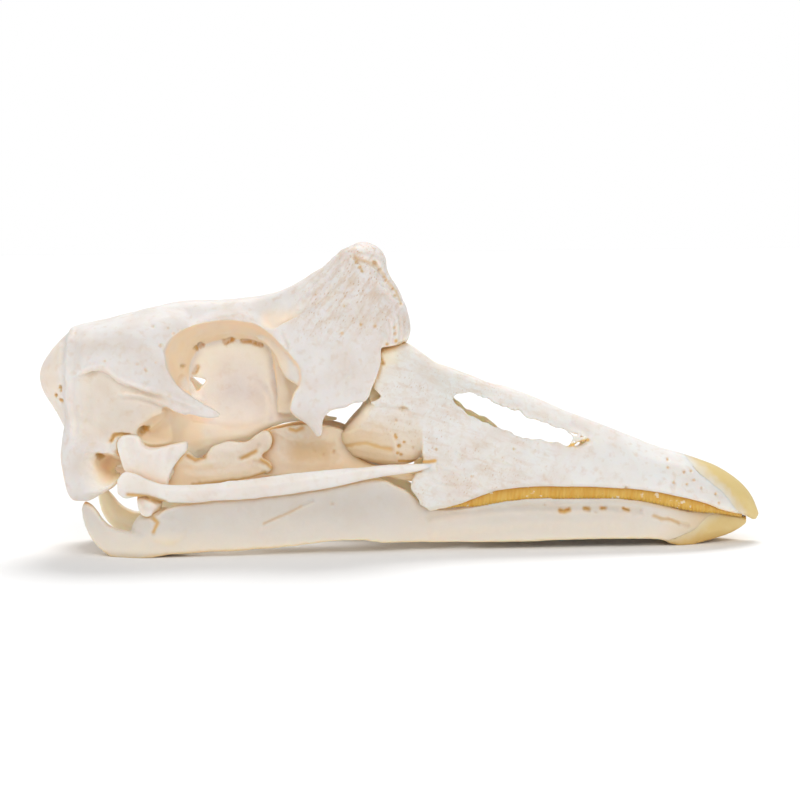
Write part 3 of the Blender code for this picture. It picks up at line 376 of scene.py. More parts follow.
class Clay:
    """The points of one piece, which brushes push about like clay."""

    def __init__(self, piece):
        self.piece = piece
        self.p = points_of(piece)
        self.mark = np.zeros(len(self.p))
        self.look_again()

    def look_again(self):
        put_points(self.piece, self.p)
        n = np.empty(len(self.p) * 3, dtype=np.float32)
        self.piece.data.vertices.foreach_get("normal", n)
        self.n = n.reshape(-1, 3).astype(float)

    def near(self, line, width, facing=0.15, band=None, hard=0.0):
        """How strongly each point feels the brush, from 0 to 1."""
        q = self.p[:, (0, 2)]
        path = np.array(line, float).reshape(-1, 2)
        low = path.min(axis=0) - width
        high = path.max(axis=0) + width
        inside = np.all((q > low) & (q < high), axis=1)
        inside &= self.n[:, 1] * np.sign(self.p[:, 1]) > facing
        if band:
            wide = np.abs(self.p[:, 1])
            inside &= (wide > band[0]) & (wide < band[1])
        ids = np.nonzero(inside)[0]
        weight = np.zeros(len(self.p))
        if not len(ids):
            return weight
        q = q[ids]
        best = np.full(len(ids), 1e9)
        if len(path) == 1:
            best = np.linalg.norm(q - path[0], axis=1)
        for start, end in zip(path[:-1], path[1:]):
            d = end - start
            t = np.clip(((q - start) @ d) / max(d @ d, 1e-9), 0, 1)
            best = np.minimum(best, np.linalg.norm(
                q - (start + t[:, None] * d), axis=1))
        best *= 1.0 + 0.3 * lumps(self.p[ids], 0.8, 5)
        weight[ids] = 1.0 - ramp(best, width * hard, width)
        return weight

    def press(self, line, width, depth, **how):
        """Push in along the line; a depth below zero pulls out."""
        weight = self.near(line, width, **how)
        self.p -= self.n * (weight * depth)[:, None]

    def dots(self, places, size, depth, **how):
        """A row of small holes, a little unlike each other."""
        for i, place in enumerate(places):
            swing = 1.0 + 0.22 * math.sin(i * 2.4 + size * 7)
            self.press([place], size * swing, depth * swing, hard=0.35, **how)

    def swell(self, size, amount, seed):
        self.p += self.n * (lumps(self.p, size, seed) * amount)[:, None]

    def soften(self, line, width, rounds, **how):
        """Smooth the points near the line, as wear does."""
        weight = self.near(line, width, **how)[:, None] * 0.6
        ends = np.empty(len(self.piece.data.edges) * 2, dtype=np.int32)
        self.piece.data.edges.foreach_get("vertices", ends)
        others = ends.reshape(-1, 2)[:, ::-1].ravel()
        count = len(self.p)
        sharing = np.maximum(np.bincount(ends, minlength=count), 1)
        for _ in range(rounds):
            mean = np.stack([np.bincount(ends, self.p[others, k], count)
                             / sharing for k in range(3)], axis=1)
            self.p += (mean - self.p) * weight

    # Marks colour along a line: real stains, and in a few hollows painted shade.
    def stain(self, line, width, amount, **how):
        weight = self.near(line, width, **how) * amount
        self.mark = np.maximum(self.mark, weight)

    def specks(self, places, width, amount, **how):
        """Stain separate spots."""
        for place in places:
            self.stain([place], width, amount, **how)

    def done(self):
        put_points(self.piece, self.p)
        return self.piece

    def keep_marks(self, name="stain"):
        """Store marks as an attribute that the material reads; they hold stains,
        painted shade, pitting and painted glow.
        """
        layer = self.piece.data.attributes.new(name, "FLOAT", "POINT")
        layer.data.foreach_set("value", self.mark.astype(np.float32))


# %% [markdown]
# ## The cranium
# The cranium is one bone in the adult bird: braincase, roof, forehead knob,
# the thin wall between the eyes and a plate in front of each eye.  It could
# be modelled from one sphere, but its parts follow very different outlines.
# So each is made as its own form, from sections measured along the skull,
# and the forms are fused afterwards.

# %% Measured sections of the cranium
# Braincase: x, top z, bottom z, half width, z of the widest place,
# fullness above it and below it.
BRAINCASE = [
    (-80.2, 39.2, 37.0, 0.8, 38.2, 2.0, 2.0),
    (-79.6, 41.0, 35.6, 3.6, 38.2, 2.0, 2.0),
    (-78.4, 43.0, 33.4, 6.4, 38.4, 2.0, 2.0),
    (-76.5, 45.4, 30.4, 8.6, 38.4, 2.1, 2.0),
    (-74.6, 47.2, 26.4, 10.4, 38.4, 2.2, 2.1),
    (-73.0, 48.6, 23.5, 12.0, 38.4, 2.3, 2.3),
    (-72.2, 49.2, 22.0, 14.6, 38.4, 2.5, 2.3),
    (-71.0, 50.0, 19.8, 15.5, 38.2, 2.5, 2.4),
    (-66.0, 51.0, 17.8, 17.2, 37.4, 2.5, 2.4),
    (-62.0, 51.9, 17.6, 18.4, 37.0, 2.5, 2.3),
    (-58.0, 52.8, 18.2, 18.8, 37.4, 2.5, 2.2),
    (-54.0, 53.5, 19.6, 18.0, 38.4, 2.5, 2.2),
    (-50.0, 54.1, 21.6, 16.4, 40.0, 2.5, 2.2),
    (-46.0, 54.2, 24.5, 13.6, 41.0, 2.4, 2.0),
    (-42.0, 53.4, 29.0, 9.5, 41.5, 2.0, 2.0),
    (-39.5, 50.5, 34.0, 3.5, 42.0, 2.0, 2.0),
]

# Roof between the eyes: x, top z, half width, rim z, underside z.
ROOF = [
    (-58.0, 52.6, 16.6, 44.0, 41.0),
    (-54.0, 53.5, 16.2, 45.6, 43.0),
    (-50.0, 54.2, 14.6, 46.6, 45.0),
    (-46.0, 54.7, 12.2, 49.0, 46.0),
    (-42.0, 54.9, 10.6, 50.6, 46.0),
    (-38.0, 55.1, 9.8, 51.4, 46.0),
    (-34.0, 55.4, 9.8, 51.3, 46.0),
    (-30.0, 55.8, 10.6, 49.8, 44.8),
    (-26.0, 56.6, 12.2, 46.6, 42.5),
    (-22.0, 58.2, 13.0, 42.6, 40.0),
    (-17.0, 61.0, 12.9, 41.0, 39.0),
]

# Knob of the forehead, sliced level: z, rear x, front x, half width.
KNOB = [
    (40.0, -27.0, -4.3, 12.6),
    (43.9, -28.5, -4.0, 12.4),
    (44.9, -28.5, 1.3, 12.2),
    (46.8, -28.0, 2.6, 11.9),
    (48.8, -27.5, 2.8, 11.5),
    (51.3, -27.0, 2.4, 11.0),
    (53.9, -26.0, 1.5, 10.6),
    (56.4, -24.9, 0.5, 10.1),
    (58.4, -21.9, -0.6, 9.5),
    (60.4, -18.9, -1.9, 8.8),
    (62.2, -16.7, -2.5, 8.1),
    (63.8, -14.9, -2.4, 7.4),
    (65.3, -13.0, -3.2, 6.4),
    (66.5, -11.1, -4.3, 5.0),
    (67.3, -9.4, -5.5, 3.0),
    (67.65, -8.2, -6.7, 1.2),
]

# Plate in front of the eye, with its spike that points down.
LACRIMAL = [
    (-27.0, 49.0), (-24.5, 44.4), (-22.8, 42.2), (-21.7, 40.9),
    (-21.1, 38.6), (-21.8, 36.3), (-22.9, 35.2), (-23.8, 33.5),
    (-24.0, 31.4), (-23.5, 30.3), (-21.9, 29.1), (-20.6, 28.4),
    (-19.3, 27.1), (-18.3, 25.5), (-17.4, 25.1), (-16.7, 26.4),
    (-16.8, 28.1), (-16.2, 29.8), (-15.0, 30.9), (-13.1, 31.4),
    (-11.4, 31.5), (-10.6, 32.4), (-9.0, 32.6), (-7.4, 32.9),
    (-6.5, 33.6), (-6.2, 35.5), (-5.4, 36.8), (-4.9, 38.2),
    (-4.4, 39.8), (-3.9, 41.0), (-3.8, 44.0), (-4.5, 49.0),
    (-14.0, 54.0),
]

# Wall between the eyes, in the plane of symmetry.
SEPTUM_HALF = 0.8
SEPTUM = [
    (-48.0, 48.0), (-38.0, 49.0), (-24.0, 49.0), (-19.5, 44.0),
    (-18.8, 36.0), (-18.6, 28.6), (-22.9, 27.9), (-26.9, 27.3),
    (-29.6, 26.6), (-31.9, 25.4), (-33.7, 24.0), (-34.6, 23.2),
    (-37.3, 23.6), (-41.0, 22.0), (-48.0, 22.0),
]

# The eye's hollow at five distances from the plane of symmetry.
EYE_HOLLOW = [
    (SEPTUM_HALF, [
        (-46.6, 38.5), (-46.0, 41.6), (-43.8, 44.6), (-39.0, 46.0),
        (-34.8, 46.0), (-30.0, 45.0), (-27.6, 43.2), (-25.6, 40.0),
        (-24.6, 36.0), (-24.2, 31.0), (-24.2, 24.0), (-30.0, 17.0),
        (-38.0, 16.0), (-43.0, 19.0), (-45.4, 25.5), (-46.6, 33.0)]),
    (4.0, [
        (-47.6, 38.5), (-47.2, 42.0), (-44.8, 45.6), (-40.0, 47.3),
        (-35.0, 47.5), (-30.0, 46.3), (-26.8, 43.8), (-24.8, 40.2),
        (-24.2, 36.0), (-24.0, 31.0), (-24.0, 24.0), (-30.0, 15.5),
        (-39.0, 15.0), (-45.6, 19.5), (-47.8, 26.0), (-48.4, 33.0)]),
    (8.5, [
        (-49.0, 38.5), (-49.4, 43.0), (-47.0, 47.2), (-42.5, 49.8),
        (-36.8, 50.6), (-31.0, 49.4), (-27.0, 46.0), (-24.0, 42.0),
        (-22.4, 38.4), (-22.9, 34.6), (-23.8, 29.5), (-30.0, 14.0),
        (-41.0, 13.0), (-48.0, 18.0), (-50.0, 26.0), (-49.8, 33.0)]),
    (12.5, [
        (-49.2, 38.0), (-50.4, 43.6), (-48.2, 47.9), (-43.3, 50.6),
        (-36.8, 51.5), (-30.7, 50.0), (-26.4, 46.6), (-22.8, 42.2),
        (-21.1, 38.2), (-22.9, 35.2), (-24.0, 31.0), (-30.0, 12.0),
        (-42.0, 11.0), (-49.0, 16.0), (-51.5, 26.0), (-50.6, 33.0)]),
    (23.0, [
        (-50.4, 38.0), (-51.6, 44.4), (-49.0, 49.4), (-43.8, 52.6),
        (-36.8, 53.6), (-30.0, 52.0), (-25.0, 47.6), (-21.2, 42.8),
        (-19.6, 38.2), (-21.9, 34.8), (-23.4, 30.6), (-30.0, 12.0),
        (-42.0, 11.0), (-50.0, 16.0), (-52.5, 26.0), (-51.6, 33.0)]),
]

# Spike behind the eye.
POSTORBITAL = [
    (-52.0, 46.0), (-50.4, 43.8), (-50.3, 41.6), (-49.6, 39.9),
    (-48.4, 37.7), (-46.9, 36.2), (-45.4, 35.1), (-43.3, 33.6),
    (-40.1, 31.8), (-38.5, 30.8), (-38.6, 30.3), (-40.1, 29.9),
    (-42.2, 30.1), (-44.4, 30.8), (-46.6, 31.3), (-48.7, 32.0),
    (-50.2, 32.9), (-51.9, 34.2), (-54.1, 35.0), (-56.2, 35.9),
    (-59.5, 36.4), (-62.0, 39.0), (-58.0, 44.0),
]

# Pocket of the jaw muscle under that spike, from the skin inwards.
TEMPLE_POCKET = [
    (19.0, [
        (-58.2, 27.5), (-54.7, 30.5), (-49.9, 32.1), (-45.2, 31.7),
        (-43.1, 27.8), (-44.9, 23.5), (-50.5, 22.2), (-55.7, 23.8)]),
    (16.0, [
        (-57.2, 27.0), (-54.2, 29.8), (-50.0, 31.5), (-45.0, 31.2),
        (-42.9, 27.5), (-45.6, 23.1), (-51.0, 22.8), (-55.3, 24.3)]),
    (12.5, [
        (-56.2, 26.4), (-53.7, 28.3), (-50.4, 30.5), (-45.8, 30.7),
        (-42.8, 27.1), (-46.0, 23.2), (-52.1, 23.7), (-55.1, 24.8)]),
    (10.0, [
        (-54.7, 26.3), (-52.5, 28.1), (-50.0, 29.4), (-46.5, 29.6),
        (-44.4, 26.9), (-47.1, 24.1), (-51.9, 24.5)]),
    (8.8, [
        (-53.3, 26.2), (-51.5, 27.3), (-49.7, 27.9), (-48.0, 27.9),
        (-46.7, 26.6), (-48.9, 25.3), (-51.6, 25.3)]),
]

# Scoop of the ear: gentle behind and below, steep above and in front.
EAR_SCOOP = [
    (19.0, [
        (-70.8, 22.6), (-67.7, 24.5), (-63.8, 24.1), (-60.0, 23.2),
        (-57.0, 20.1), (-56.7, 14.5), (-62.3, 12.8), (-67.5, 13.3),
        (-70.5, 16.3)]),
    (16.8, [
        (-69.8, 21.3), (-67.2, 23.0), (-64.8, 22.5), (-62.2, 22.5),
        (-60.1, 21.8), (-58.4, 19.4), (-58.0, 15.1), (-61.7, 14.0),
        (-65.6, 13.6), (-68.6, 15.2), (-70.1, 18.2)]),
    (15.8, [
        (-68.2, 20.7), (-66.5, 22.4), (-64.3, 22.4), (-61.9, 22.2),
        (-60.0, 21.5), (-58.5, 19.3), (-58.4, 16.0), (-62.1, 15.2),
        (-65.5, 15.0), (-67.9, 16.8)]),
    (14.2, [
        (-66.3, 20.5), (-65.0, 21.8), (-63.4, 21.8), (-61.5, 21.6),
        (-60.0, 21.1), (-58.9, 19.1), (-59.0, 16.9), (-62.2, 16.5),
        (-65.1, 17.4)]),
    (12.0, [
        (-65.1, 20.3), (-64.0, 21.1), (-62.7, 21.1), (-61.4, 20.9),
        (-60.0, 20.4), (-59.4, 19.1), (-59.9, 17.6), (-62.5, 17.4),
        (-64.5, 18.5)]),
    (9.6, [
        (-64.1, 19.8), (-63.2, 20.4), (-61.9, 20.4), (-60.8, 20.0),
        (-60.4, 19.1), (-61.1, 18.2), (-62.6, 18.2), (-63.7, 18.9)]),
]

# Wing behind the ear, sliced level: z, rear x, front x, inner y, outer y.
EAR_WING = [
    (12.0, -71.2, -67.8, 12.8, 15.0),
    (13.2, -72.2, -65.4, 11.6, 15.9),
    (15.2, -72.9, -62.2, 10.2, 16.4),
    (18.3, -73.6, -60.6, 8.6, 16.8),
    (21.6, -74.1, -60.3, 7.2, 17.0),
    (25.9, -73.6, -60.4, 5.4, 16.8),
    (29.5, -73.1, -61.6, 3.6, 15.8),
    (33.0, -72.4, -63.6, 2.6, 14.4),
]


# %% [markdown]
# The braincase, the roof and the bill are lofts of half sections that are
# mirrored, because a skull is the same on both sides.

# %% Braincase, roof, knob and ear wings
def oval(x, top, bottom, wide, z_wide, upper, lower, n=20):
    """Half section of the braincase, from its top to its bottom."""
    half = []
    for a in np.linspace(math.pi / 2, -math.pi / 2, n):
        c, s = math.cos(a), math.sin(a)
        power = upper if s >= 0 else lower
        reach = top - z_wide if s >= 0 else z_wide - bottom
        y = wide * abs(c) ** (2.0 / power)
        z = z_wide + math.copysign(abs(s) ** (2.0 / power), s) * reach
        half.append((y, z))
    return ring_from_half(x, half)


def make_roof():
    rings = []
    for x, top, wide, rim, under in smooth_line(ROOF, 34):
        half = smooth_line([
            (0, top), (wide * 0.45, top - 0.25), (wide * 0.8, rim + 1.5),
            (wide, rim), (wide - 0.5, rim - 1.2),
            (wide * 0.6, (rim + under) / 2 - 0.8), (0, under)], 22)
        half[0, 0] = 0.0
        half[-1, 0] = 0.0
        rings.append(ring_from_half(x, half))
    return loft("roof", rings)


def level_slices(name, table, squareness):
    """Loft of rounded level slices: z, rear x, front x, inner y, outer y."""
    rings = []
    for z, rear, front, near, far in smooth_line(table, 40):
        ring = []
        for a in np.linspace(0, 2 * math.pi, 44, endpoint=False):
            c, s = math.cos(a), math.sin(a)
            x = (front + rear) / 2 + (front - rear) / 2 * math.copysign(
                abs(c) ** squareness, c)
            y = -(near + far) / 2 + (far - near) / 2 * math.copysign(
                abs(s) ** squareness, s)
            ring.append((x, y, z))
        rings.append(ring)
    return loft(name, rings)


braincase = loft("braincase", [oval(*row) for row in
                               smooth_line(BRAINCASE, 46)])
roof = make_roof()
knob = level_slices("knob", [(z, rear, front, -wide, wide)
                             for z, rear, front, wide in KNOB], 0.78)
ear_wings = with_mirror(level_slices("ear_wing", EAR_WING, 0.75))
print("four forms of the head")


# %% Plates in front of the eye and between the eyes
def bend_lacrimal(x, y, z):
    down = np.clip((38.0 - z) / 12.0, 0, 1)
    up = np.clip((z - 41.0) / 12.0, 0, 1)
    front = np.clip((x + 14.0) / 10.0, 0, 1)
    return (x, y + 0.9 * front + 0.5 * down - 0.3 * up * (y + 12)
            + 1.6 * up, z)


lacrimal = fused(plate("lacrimal", LACRIMAL, -13.0, -11.0, 90), 0.45)
lacrimals = with_mirror(warp(lacrimal, bend_lacrimal))
septum = plate("septum", SEPTUM, -SEPTUM_HALF - 0.2, SEPTUM_HALF + 0.2, 70)
print("plates of the eye sockets")

# %% [markdown]
# The eye's hollow is a loft too, whose outlines open out from the middle
# wall to the rim.  It is cut from both sides, together with the ear's
# hollow, the room of the nose and the hole for the spinal cord.

# %% Fuse the head and cut its hollows
def make_hollow(levels, around=56, deep=14):
    """Loft of outlines that lie one behind the other."""
    rings = []
    for y, outline in levels:
        rings.append([(x, y, z) for x, z in smooth_line(outline, around, True)])
    rings = np.array(rings)
    skin = smooth_line(rings.reshape(len(rings), -1), deep)
    return loft("hollow", skin.reshape(deep, around, 3))


cranium = joined("cranium_bone", [braincase, roof, knob, lacrimals, septum,
                                  ear_wings])
cranium = eased(fused(cranium, 0.55), 3)
for levels in (EYE_HOLLOW, TEMPLE_POCKET, EAR_SCOOP):
    hollow = make_hollow(levels)
    cut(cranium, [copied(hollow, "other_side", True), hollow])
cut(cranium, [
    ball("thin", (-45.2, 5.6, 35.6), (4.6, 4.6, 4.2)),
    ball("thin", (-45.2, -5.6, 35.6), (4.6, 4.6, 4.2)),
    ball("nose", (-12.0, 0, 35.0), (8.5, 10.4, 9.0)),
    ball("neck", (-74.5, 0, 27.4), (7.0, 4.8, 4.2), (0, -25, 0)),
    plate("optic", [(-47.1, 38.2), (-42.8, 37.3), (-45.2, 34.3)],
          -6.0, 6.0)])
print("cranium cut,", len(cranium.data.polygons), "faces")

# %% [markdown]
# The long spike behind the eye, the rod under the wall and the small spurs
# are thin, so they are added after the cuts and fused in a second, finer
# remesh.

# %% Add the spikes and fuse again
def taper_spike(x, y, z):
    t = np.clip((x + 56.0) / 17.0, 0, 1)
    return x, -15.7 + 0.9 * t + (y + 15.3) * (1.0 - 0.5 * t), z


FRONT_SHEET = [
    (-31.4, 46.9), (-29.2, 45.4), (-27.3, 43.2), (-26.0, 40.3),
    (-24.7, 38.1), (-21.9, 36.5), (-20.6, 35.8), (-20.5, 47.3),
    (-26.1, 48.2),
]


def bend_sheet(side):
    """Sheet that slants outwards from the middle wall to the front rim."""
    def move(x, y, z):
        out = 4.5 + 7.3 * np.clip((x + 31.0) / 10.0, 0, 1)
        return x, side * out + y, z
    return move


spike = fused(plate("spike", POSTORBITAL, -16.8, -13.8, 60), 0.45)
extra = [with_mirror(warp(spike, taper_spike)),
         bar("rostrum", [
             (-50.0, 0, 23.0, 6.0), (-46.0, 0, 24.0, 4.6),
             (-42.0, 0, 24.6, 3.1), (-38.0, 0, 24.9, 2.0),
             (-34.0, 0, 25.4, 1.7), (-30.0, 0, 27.3, 1.3),
             (-26.0, 0, 28.3, 1.1), (-21.0, 0, 28.6, 0.8),
             (-17.0, 0, 28.4, 0.5), (-14.0, 0, 28.2, 0.4)], 4),
         ball("neck_knob", (-73.2, 0, 21.4), (2.4, 2.6, 2.2))]
for side in (-1, 1):
    extra.append(bar("front_wall", [
        (-26.8, side * 1.2, 44.0, 1.6), (-25.8, side * 1.8, 38.0, 1.8),
        (-25.2, side * 2.0, 34.0, 1.8), (-25.0, side * 1.4, 29.6, 1.4)], 4))
    sheet = fused(plate("front_sheet", FRONT_SHEET, -0.6, 0.6, 60), 0.4)
    extra.append(warp(sheet, bend_sheet(side)))
    extra.append(plate("nose_back", [
        (-27.0, 29.8), (-27.0, 47.0), (-14.0, 47.0), (-15.0, 36.0),
        (-19.0, 31.5), (-22.0, 30.0)], side * 1.6, side * 3.2))
    extra.append(bar("ear_spur", [
        (-63.2, side * 14.2, 28.0, 2.2), (-62.2, side * 14.9, 25.4, 1.5),
        (-61.7, side * 15.3, 23.2, 0.8)], 4))
cranium = joined("cranium_bone", [cranium] + extra)
cranium = eased(biggest(fused(cranium, FINE)), 4, 0.5)
print("cranium fused,", len(cranium.data.polygons), "faces")

# %% [markdown]
# Now the brushes.  The temple's muscle bed is pressed in under its ridge,
# the crest behind it is pulled out, and small holes are set where nerves
# and vessels pass.

# %% Brush the braincase and the eye sockets
clay = Clay(cranium)
x, y, z = clay.p.T
TEMPLE_EDGE = [
    (-72.0, 38.0), (-66.1, 41.4), (-63.0, 41.4), (-60.3, 39.2),
    (-56.0, 37.3), (-51.8, 36.0), (-46.0, 34.0),
]
ridge_z = by_x(TEMPLE_EDGE, x)
ridge_z = ridge_z + 0.35 * lumps(clay.p, 1.4, 15)
bed = (ramp(ridge_z - z, -0.3, 0.9) * ramp(z, 23.0, 30.0)
       * ramp(x, -72.0, -66.0) * ramp(-x, 50.0, 54.0)
       * ramp(np.abs(y), 11.0, 14.0))
clay.p[:, 1] -= np.sign(y) * bed * 1.6
clay.look_again()

TEMPLE_RIDGE = [
    (-67.6, 40.6), (-66.1, 41.4), (-63.3, 41.0), (-60.3, 38.8),
    (-57.1, 37.9), (-53.9, 36.3), (-51.3, 35.7), (-48.3, 34.3),
    (-44.1, 32.6),
]
SPIKE_LIP = [
    (-59.7, 35.2), (-56.2, 35.2), (-54.1, 34.5), (-51.9, 33.6),
    (-49.4, 32.3), (-46.3, 31.2),
]
NUCHAL_CREST = [
    (-71.7, 48.8), (-72.4, 46.0), (-72.5, 42.7), (-72.3, 40.1),
    (-72.2, 36.1), (-71.6, 32.8), (-71.2, 29.5), (-70.9, 25.2),
]
REAR_BULGE = [(-67.8, 48.2), (-68.0, 45.0), (-68.4, 40.7), (-68.5, 36.3), (-68.8, 32.0)]
EYE_HOLES = [(-44.8, 44.6), (-43.9, 44.8)]
clay.soften([(-69.9, 21.6), (-70.2, 19.0), (-70.0, 16.4), (-68.8, 14.6), (-65.7, 14.2)],
            2.6, 12, facing=-0.4)
clay.soften([(-58.8, 25.2), (-56.7, 23.0), (-54.5, 22.6), (-50.2, 23.0)], 2.4, 12,
            facing=-0.4)
clay.press(TEMPLE_RIDGE, 1.1, -0.55)
clay.press(SPIKE_LIP, 1.0, -0.42, facing=-0.2)
clay.press([(-64.4, 20.6), (-63.6, 18.4), (-64.1, 16.7)], 3.6, 0.55, facing=-0.3)
clay.press([(-60.6, 18.4), (-61.3, 16.4), (-63.0, 15.1), (-65.5, 14.3), (-68.1, 14.1)],
           0.9, -0.3, facing=-0.5)
clay.press([(-68.3, 22.8), (-67.4, 24.6), (-65.7, 25.0), (-63.5, 24.1)], 0.8, -0.25,
           facing=-0.4)
clay.press([(-60.1, 34.8), (-56.2, 34.3), (-54.1, 33.7), (-51.9, 32.6), (-49.8, 31.4)],
           0.9, 0.3, facing=-0.2)
clay.press(NUCHAL_CREST, 1.1, -0.4, facing=-0.2)
clay.press([(-73.3, 46.0), (-73.4, 41.6), (-73.2, 37.2)], 1.4, 0.42, facing=-0.3)
clay.press(REAR_BULGE, 2.2, -0.2)
clay.press([(-70.3, 46.0), (-70.4, 41.6), (-70.3, 36.2), (-69.9, 31.8), (-69.6, 27.4)],
           1.4, 0.3)
clay.look_again()
OCCIPUT_PITS = [
    (-74.1, 36.6), (-73.9, 35.9), (-73.8, 33.7), (-74.2, 33.9),
    (-75.3, 34.8),
]
clay.dots(OCCIPUT_PITS, 0.5, 0.7, facing=-0.6)
clay.dots(EYE_HOLES, 0.8, 0.8, facing=-0.7, band=(1.0, 14.0))
SOCKET_HOLE = [(-47.8, 40.6)]
clay.dots(SOCKET_HOLE, 0.5, 0.6, facing=-0.7, band=(1.0, 14.0))
clay.press([(-45.0, 40.1), (-45.7, 38.7)], 0.5, 0.7, facing=-0.7, band=(0.5, 14.0))
clay.press([(-38.6, 45.7), (-37.2, 46.2)], 0.7, 0.9, facing=-0.7, band=(0.3, 9.0))
clay.press([(-34.8, 45.9), (-32.8, 45.7), (-30.6, 45.0)], 0.55, 0.8, facing=-0.7,
           band=(0.3, 9.0))
clay.press([(-33.4, 37.1), (-30.8, 35.8), (-29.2, 33.5), (-28.8, 30.8), (-29.1, 28.1)],
           1.2, 0.12, band=(0.3, 3.0))
clay.press([(-29.4, 36.2), (-27.9, 33.7), (-27.5, 30.4), (-28.0, 28.1)], 1.4, -0.22,
           band=(0.3, 4.0))
SURFACE_PITS = [
    (-53.2, 49.9), (-50.0, 49.5), (-51.4, 46.0), (-52.3, 42.2),
    (-56.2, 42.0), (-54.3, 40.5), (-63.3, 42.7), (-48.7, 48.4),
    (-54.5, 40.9), (-70.7, 48.4),
]
clay.dots(SURFACE_PITS, 0.42, 0.25)
clay.look_again()

EAR_EDGE = [(-62.4, 25.4), (-61.9, 26.5), (-60.4, 26.7), (-58.7, 26.4)]
clay.press(EAR_EDGE, 0.6, 0.8, facing=-0.3)
TEMPLE_HOLES = [(-56.0, 27.0), (-55.5, 27.4)]
clay.dots(TEMPLE_HOLES, 1.0, 1.3, facing=-0.3)
EAR_HOLES = [(-65.4, 22.2), (-65.2, 21.6)]
clay.dots(EAR_HOLES, 0.7, 0.9, facing=-0.6)
print("braincase brushed")

# %% [markdown]
# The knob is spongy bone, so its skin is pitted all over, with fine
# scratches that run up to the cap.  A groove with open pits parts the cap
# from the front lobe.

# %% Brush the knob and the plates before the eye
CAP_GROOVE = [
    (-9.4, 64.4), (-8.5, 63.7), (-7.2, 63.5), (-6.1, 63.0), (-4.8, 62.6),
    (-3.9, 61.5),
]
LOBE_GROOVE = [
    (-3.9, 61.4), (-3.0, 60.3), (-2.4, 59.0), (-1.5, 57.9), (-0.4, 56.6),
    (0.6, 54.4),
]
clay.press(CAP_GROOVE, 0.9, 0.75, facing=-0.1)
clay.press([(-11.8, 65.1), (-9.1, 65.7), (-7.2, 64.8), (-5.4, 64.1), (-4.1, 63.0)], 1.6,
           -0.4, facing=-0.1)
clay.press(LOBE_GROOVE, 0.8, 0.55, facing=-0.2)
clay.look_again()
CAP_PITS = [
    (-9.1, 63.3), (-5.2, 63.3), (-5.0, 62.8), (-4.1, 61.5), (-3.0, 60.0),
    (-2.6, 59.3), (-1.1, 57.3), (-8.3, 62.2), (-7.8, 61.3), (-0.7, 55.8),
]
clay.dots(CAP_PITS, 0.42, 0.4, facing=-0.1)
KNOB_PITS = [
    (-8.1, 49.8), (-0.9, 48.9), (-0.7, 47.6), (-11.8, 53.8), (0.6, 53.9),
    (-5.1, 49.4), (-12.3, 47.9),
]
clay.dots(KNOB_PITS, 0.4, 0.3, facing=-0.1)
# Scratches that run up to the cap, and down the front lobe.
KNOB_SCRATCHES = [
    [(-18.8, 54.0), (-17.7, 55.8), (-16.8, 57.3)],
    [(-18.2, 53.4), (-16.0, 56.0), (-14.0, 58.6)],
    [(-16.9, 54.5), (-15.1, 56.8), (-13.8, 58.1)],
    [(-21.7, 55.2), (-19.9, 57.3), (-18.1, 59.1)],
    [(-15.1, 59.2), (-13.3, 62.0), (-11.7, 64.0)],
    [(-16.4, 58.1), (-14.6, 61.2), (-13.3, 62.9)],
    [(-11.8, 61.2), (-11.1, 63.3), (-10.6, 64.6)],
    [(-20.2, 56.0), (-18.8, 58.2), (-17.3, 60.1)],
]
LOBE_SCRATCHES = [
    [(-0.7, 51.0), (-0.5, 48.3), (-1.0, 45.7)],
    [(0.4, 51.6), (0.6, 48.7), (0.3, 45.6)],
    [(1.5, 50.9), (1.7, 47.8), (1.0, 45.1)],
    [(-2.0, 50.6), (-1.6, 48.0), (-2.1, 45.3)],
    [(-5.0, 58.2), (-3.3, 56.7), (-1.5, 55.1)],
    [(-5.9, 59.8), (-4.1, 58.0), (-2.0, 55.8)],
    [(-3.3, 58.4), (-1.5, 56.9), (-0.0, 54.9)],
]
for line in KNOB_SCRATCHES:
    clay.press(line, 0.5, 0.24)
for line in LOBE_SCRATCHES:
    clay.press(line, 0.5, 0.3, facing=-0.1)
knob_skin = ramp(clay.p[:, 2], 44.0, 51.0) * ramp(clay.p[:, 0], -26.0, -17.0)
clay.p -= clay.n * (knob_skin * (
    0.12 * np.maximum(lumps(clay.p, 1.1, 3), 0.0)
    + 0.14 * np.maximum(lumps(clay.p * (1.0, 1.0, 0.6), 0.62, 4), 0.0))
)[:, None]
clay.look_again()
clay.press([(-21.3, 40.9), (-21.1, 38.3), (-21.6, 36.1), (-22.7, 33.9), (-23.4, 31.7)],
           0.9, -0.15, facing=-0.5)
clay.press([(-19.6, 38.9), (-19.2, 34.5), (-17.9, 30.1), (-17.3, 26.4)], 2.2, -0.18)
clay.press([(-15.1, 44.3), (-14.1, 39.9), (-12.0, 35.5)], 5.0, 0.35)
clay.press([(-9.7, 41.0), (-8.3, 36.6), (-8.7, 33.8)], 3.5, 0.25)
clay.press([(-25.1, 47.5), (-24.5, 46.4), (-24.1, 45.3)], 1.0, 0.5, facing=-0.5)
clay.swell(5.0, 0.16, 11)
clay.swell(1.6, 0.05, 12)
clay.done()
print("knob brushed")

# %% [markdown]
# ## The bill
# The bill is a hollow wedge of thin bone.  A loft of half sections gives its
# outside, and the same sections, drawn smaller, give the room inside.  The
# nostril goes right through, and the rear end is cut along its free edge,
# where the bone breaks off in small teeth.

# %% Measured sections of the bill
BILL_WALL = 1.0

